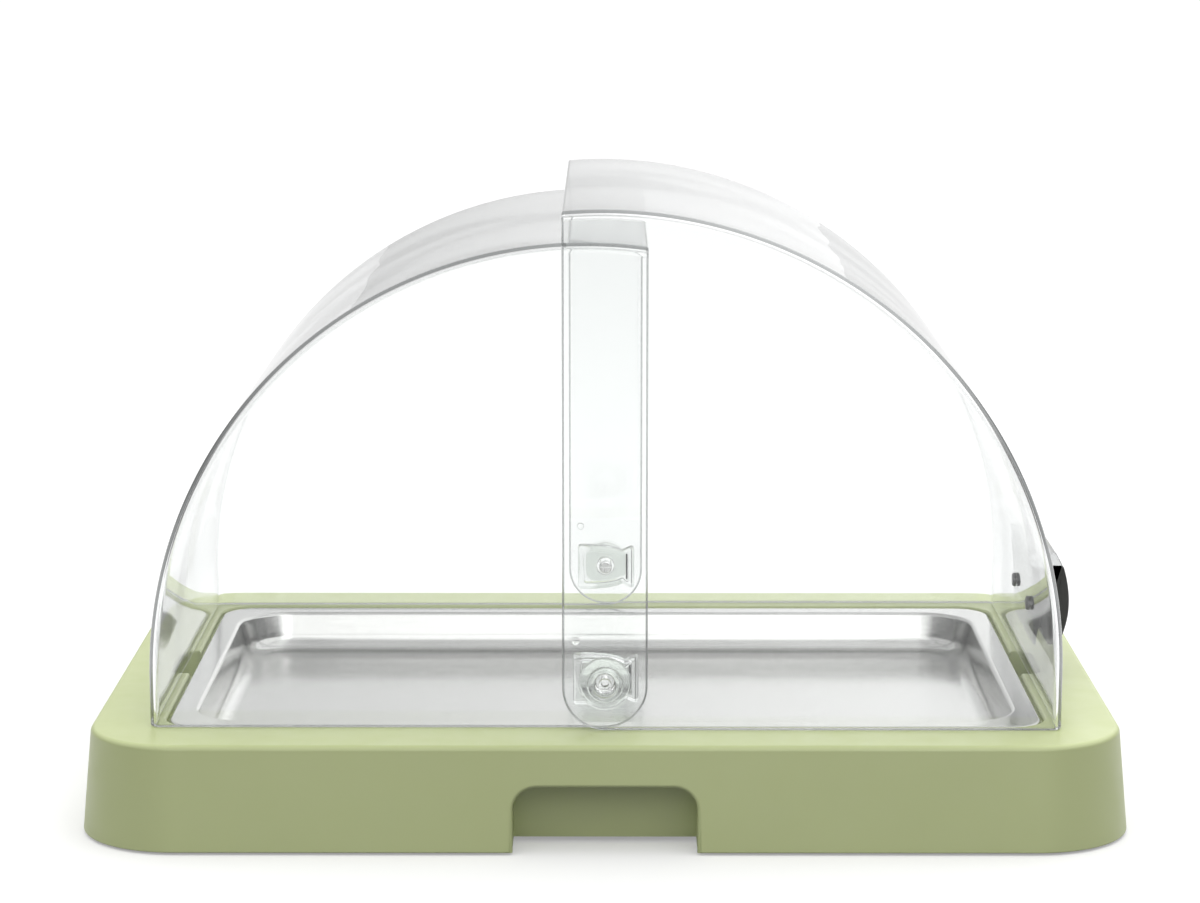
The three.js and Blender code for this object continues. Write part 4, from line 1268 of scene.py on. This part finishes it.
handle = {
    "proud": 20.5,
    "crown": 20.0,           # height of the proudest line
    "topProud": 16.5,
    "lipProud": 14.5,
    "lipThickness": 4.5,
    "gapTop": 9.0,
    "gapArch": 2.2,
    "edge": 1.5,
    "corners": 1.6,
    "padThickness": 2.0,
    "padTopProud": 11.0,
    "padShoulderProud": 16.0,
    "padEdge": 0.6,
    "padCorners": 0.7,
    "screwBore": 2.3,
}


def archOffset(z):
    shape = covers["outer"]
    above = max(0.0, z - shape["rise"])
    return math.sqrt(shape["radius"] ** 2 - above ** 2) - shape["radius"]


# Points from one height to another, each as far out as the function says
def heights(reach, start, end, steps):
    levels = [start + (end - start) * count / steps for count in range(steps + 1)]
    return [Vector((reach(z), z)) for z in levels]


def makeHandle():
    footX = covers["outer"]["centre"] + covers["outer"]["radius"]
    low, high = boxOf("handle_grip")
    top, bottom = high.z - pivotHeight, low.z - pivotHeight
    proud, crown, lip = handle["proud"], handle["crown"], handle["lipThickness"]

    def outside(z):
        if z > crown:
            return proud - (proud - handle["topProud"]) * ((z - crown) / (top - crown)) ** 2
        return proud - (proud - handle["lipProud"]) * ((crown - z) / (crown - bottom)) ** 2

    def finish(piece, bodyName, material, node):
        moved(piece, Matrix.Translation((footX, 0, pivotHeight)))
        cut(piece, *handleBores(handle["screwBore"], footX - overrun, screwEnd + fitGap))
        finishPiece(piece, "roll_cover", bodyName, material, node)

    face, gapTop = handle["padThickness"] + 2 * fitGap, handle["gapTop"]
    screwRise = middleOf("handle_screw_1")[2] - pivotHeight
    screwEnd = boxOf("handle_screw_1")[1].x
    outline = heights(outside, bottom, top, 24)
    outline += [Vector((face + archOffset(z), z)) for z in (top, screwRise, gapTop)]
    # The roof of the finger gap is an arc from the pad to the lip
    roofEnd = outside(gapTop) - lip
    for count in range(1, 8):
        share = count / 8
        rise = 4 * share * (1 - share) * handle["gapArch"]
        outline.append(Vector((face + (roofEnd - face) * share, gapTop + rise)))
    outline += heights(lambda z: outside(z) - lip, gapTop, bottom, 16)
    grip = prismY("handle_bar", softCorners(outline, handle["corners"]), low.y, high.y, handle["edge"], 6)
    finish(grip, "black_plastic", blackPlastic, "handle_grip")

    low, high = boxOf("handle_pad")
    padTop, shoulder = high.z - pivotHeight, top + 2 * fitGap
    thick = handle["padThickness"] + fitGap
    outline = list(reversed(heights(lambda z: archOffset(z) + fitGap, bottom, padTop, 20)))
    outline += [Vector((thick, bottom)), Vector((thick, gapTop))]
    outline += [Vector((thick + archOffset(z), z)) for z in (screwRise, shoulder)]
    outline += [Vector((handle["padShoulderProud"], shoulder)), Vector((handle["padTopProud"], padTop))]
    outline = softCorners(outline, handle["padCorners"])
    pad = prismY("clear_wedge", outline, low.y, high.y, handle["padEdge"], 3)
    finish(pad, "clear_plastic", partClear, "handle_pad")


# Feet. A pad with a rounded foot and a stem is set at the four corners.

footSizes = {"radius": 11.0, "height": 6.0, "rounding": 1.5, "stem": 4.5, "stemLength": 10.0, "weld": 1.0}


def footTree():
    tree, given, outputs = newTree("tableFeet", (
        "Radius", "Height", "Rounding", "Shank Radius", "Shank Length"))
    sides, rings = 48, 8
    pad, ring, column = ringedCylinder(tree, sides, rings)
    angle = nodeMath("MINIMUM", ring / (rings - 2.0), 1.0) * (math.pi / 2)
    rounding, height = given["Rounding"], given["Height"]
    radius = given["Radius"] - rounding * (1.0 - nodeMath("SINE", angle))
    last = ring > rings - 1.5
    z = last * height + (1.0 - last) * (rounding * (1.0 - nodeMath("COSINE", angle)))
    pad = placeRound(tree, pad, radius, column * (-2 * math.pi / sides), z)
    foot = withShank(tree, given, pad, 32, footSizes["weld"], height)
    spots = step(tree, "GeometryNodeInstanceOnPoints", Points=given["Geometry"], Instance=foot)
    return endTree(tree, spots, outputs, given["Material"])


def makeFeet():
    obj = makeObject("table_feet", [Vector((x, y, 0)) for x, y in footPlaces], [])
    runTree(obj, footTree(), {
        "Radius": footSizes["radius"], "Height": footSizes["height"], "Rounding": footSizes["rounding"],
        "Shank Radius": footSizes["stem"], "Shank Length": footSizes["stemLength"],
        "Material": footRubber,
    })
    finishPiece(obj, "base", "foot_rubber", footRubber, "foot_1", "foot_2", "foot_3", "foot_4")


# Studio: a white floor and a pale surround. Each span is where a part of the surround fades, by the
# direction of the ray: z is up, x to the right, y to the back, and the sides are x without its sign.

studio = {
    "floorHalf": 30.0,
    "floorRoughness": 0.9,
    "floorGloss": 0.1,
    "floorColour": (0.66, 0.66, 0.66),
    "floorColourLit": (0.12, 0.12, 0.12),        # where it throws light back on the piece
    "floorGlow": 0.32,
    "floorGlowMirrored": 0.15,
    "lightFromSides": 0.12,
    "lightFromAbove": 1.28,
    "overheadSpan": (0.05, 0.62),
    "skyGrey": 0.92,
    "skySpan": (0.1, 0.9),
    "lowGrey": 0.78,
    "lowSpan": (0.1, 0.2),
    "leftGrey": 0.90,
    "rightGrey": 1.55,
    "rightSpan": (-0.2, 0.25),
    "flagGrey": 0.24,
    "flagFootSpan": (0.0, 0.06),
    "flagTopSpan": (0.24, 0.38),
    "flagSideSpan": (0.2, 0.7),
    "panelGlow": 2.0,
    "panelBackSpan": (-0.15, 0.05),
    "panelTopSpan": (0.55, 0.8),
    "panelSideSpan": (0.15, 0.6),
}


def makeFloor():
    half = studio["floorHalf"]
    corners = [(-half, -half, 0), (half, -half, 0), (half, half, 0), (-half, half, 0)]
    floor = makeObject("floor", corners, [(0, 1, 2, 3)])
    material, tree, shader = emptyMaterial("floorWhite", {
        "Roughness": studio["floorRoughness"], "Specular IOR Level": studio["floorGloss"],
        "Emission Color": (1, 1, 1, 1),
    })
    ray = rayKinds(tree)
    seen = nodeMath("MAXIMUM", ray["Is Camera Ray"], ray["Is Transmission Ray"]) * studio["floorGlow"]
    mirrored = ray["Is Glossy Ray"] * studio["floorGlowMirrored"]
    feed(shader.inputs["Emission Strength"], nodeMath("MAXIMUM", seen, mirrored))
    colour = tint(ray["Is Diffuse Ray"], studio["floorColour"], studio["floorColourLit"])
    feed(shader.inputs["Base Color"], colour)
    floor.data.materials.append(material)


# What metal and gloss mirror is white, a little greyer low down and overhead and brighter to the
# right, with a bright panel in front and dark flags low down to both sides
def makeSurround():
    world = bpy.data.worlds.new("surround")
    bpy.context.scene.world = world
    world.use_nodes = True
    tree = world.node_tree
    parts = tree.nodes.new("ShaderNodeSeparateXYZ")
    feed(parts.inputs[0], lookUp(tree, "ShaderNodeTexCoord", "Generated"))
    x, y, z = (Value(socket) for socket in parts.outputs)
    sides = nodeMath("ABSOLUTE", x)

    def fade(value, span, low, high):
        return ramp(value, studio[span], low, high, "SMOOTHSTEP")

    panel = fade(y, "panelBackSpan", 1.0, 0.0) * fade(z, "panelTopSpan", 1.0, 0.0)
    panel = panel * fade(sides, "panelSideSpan", 1.0, 0.0) * (studio["panelGlow"] - 1)
    sky = fade(z, "skySpan", 1.0, studio["skyGrey"]) * fade(z, "lowSpan", studio["lowGrey"], 1.0)
    sky = sky * fade(x, "rightSpan", studio["leftGrey"], studio["rightGrey"]) * (panel + 1.0)
    flag = fade(z, "flagFootSpan", 0.0, 1.0) * fade(z, "flagTopSpan", 1.0, 0.0)
    flag = flag * fade(sides, "flagSideSpan", 0.0, 1.0)
    shade = sky * (1.0 - flag) + flag * studio["flagGrey"]
    ray = rayKinds(tree)
    plain = ray["Is Diffuse Ray"]
    mirrored = (ray["Glossy Depth"] > 0.5) * (1.0 - plain)
    seen = 1.0 - nodeMath("MAXIMUM", mirrored, plain)
    overhead = fade(z, "overheadSpan", studio["lightFromSides"], studio["lightFromAbove"])
    background = tree.nodes["Background"]
    background.inputs["Color"].default_value = (1, 1, 1, 1)
    feed(background.inputs["Strength"], seen + mirrored * shade + plain * overhead)


softBox = {"size": 2.2, "place": (0.5, 0.6, 2.0), "aim": (0, 0, 0.1), "power": 16.0}


def makeLight():
    data = bpy.data.lights.new("softBox", "AREA")
    data.shape = "SQUARE"
    data.size = softBox["size"]
    data.energy = softBox["power"]
    light = bpy.data.objects.new("softBox", data)
    light.location = softBox["place"]
    towards = Vector(softBox["aim"]) - Vector(softBox["place"])
    light.rotation_euler = towards.to_track_quat("-Z", "Y").to_euler()
    light.visible_camera = False
    light.visible_glossy = False
    light.visible_transmission = False
    collection.objects.link(light)


bpy.context.scene.view_settings.view_transform = "Standard"
setCamera()
makeSurround()
makeLight()
makeFloor()
print("camera and studio set")
makeHousing()
print("housing made")
makeWell()
makeTray()
makePacks()
print("well, tray and packs made")
makeCovers()
print("covers made")
makePivots()
makeScrews()
makeHandle()
makeFeet()
print("pivots, screws, handle and feet made")
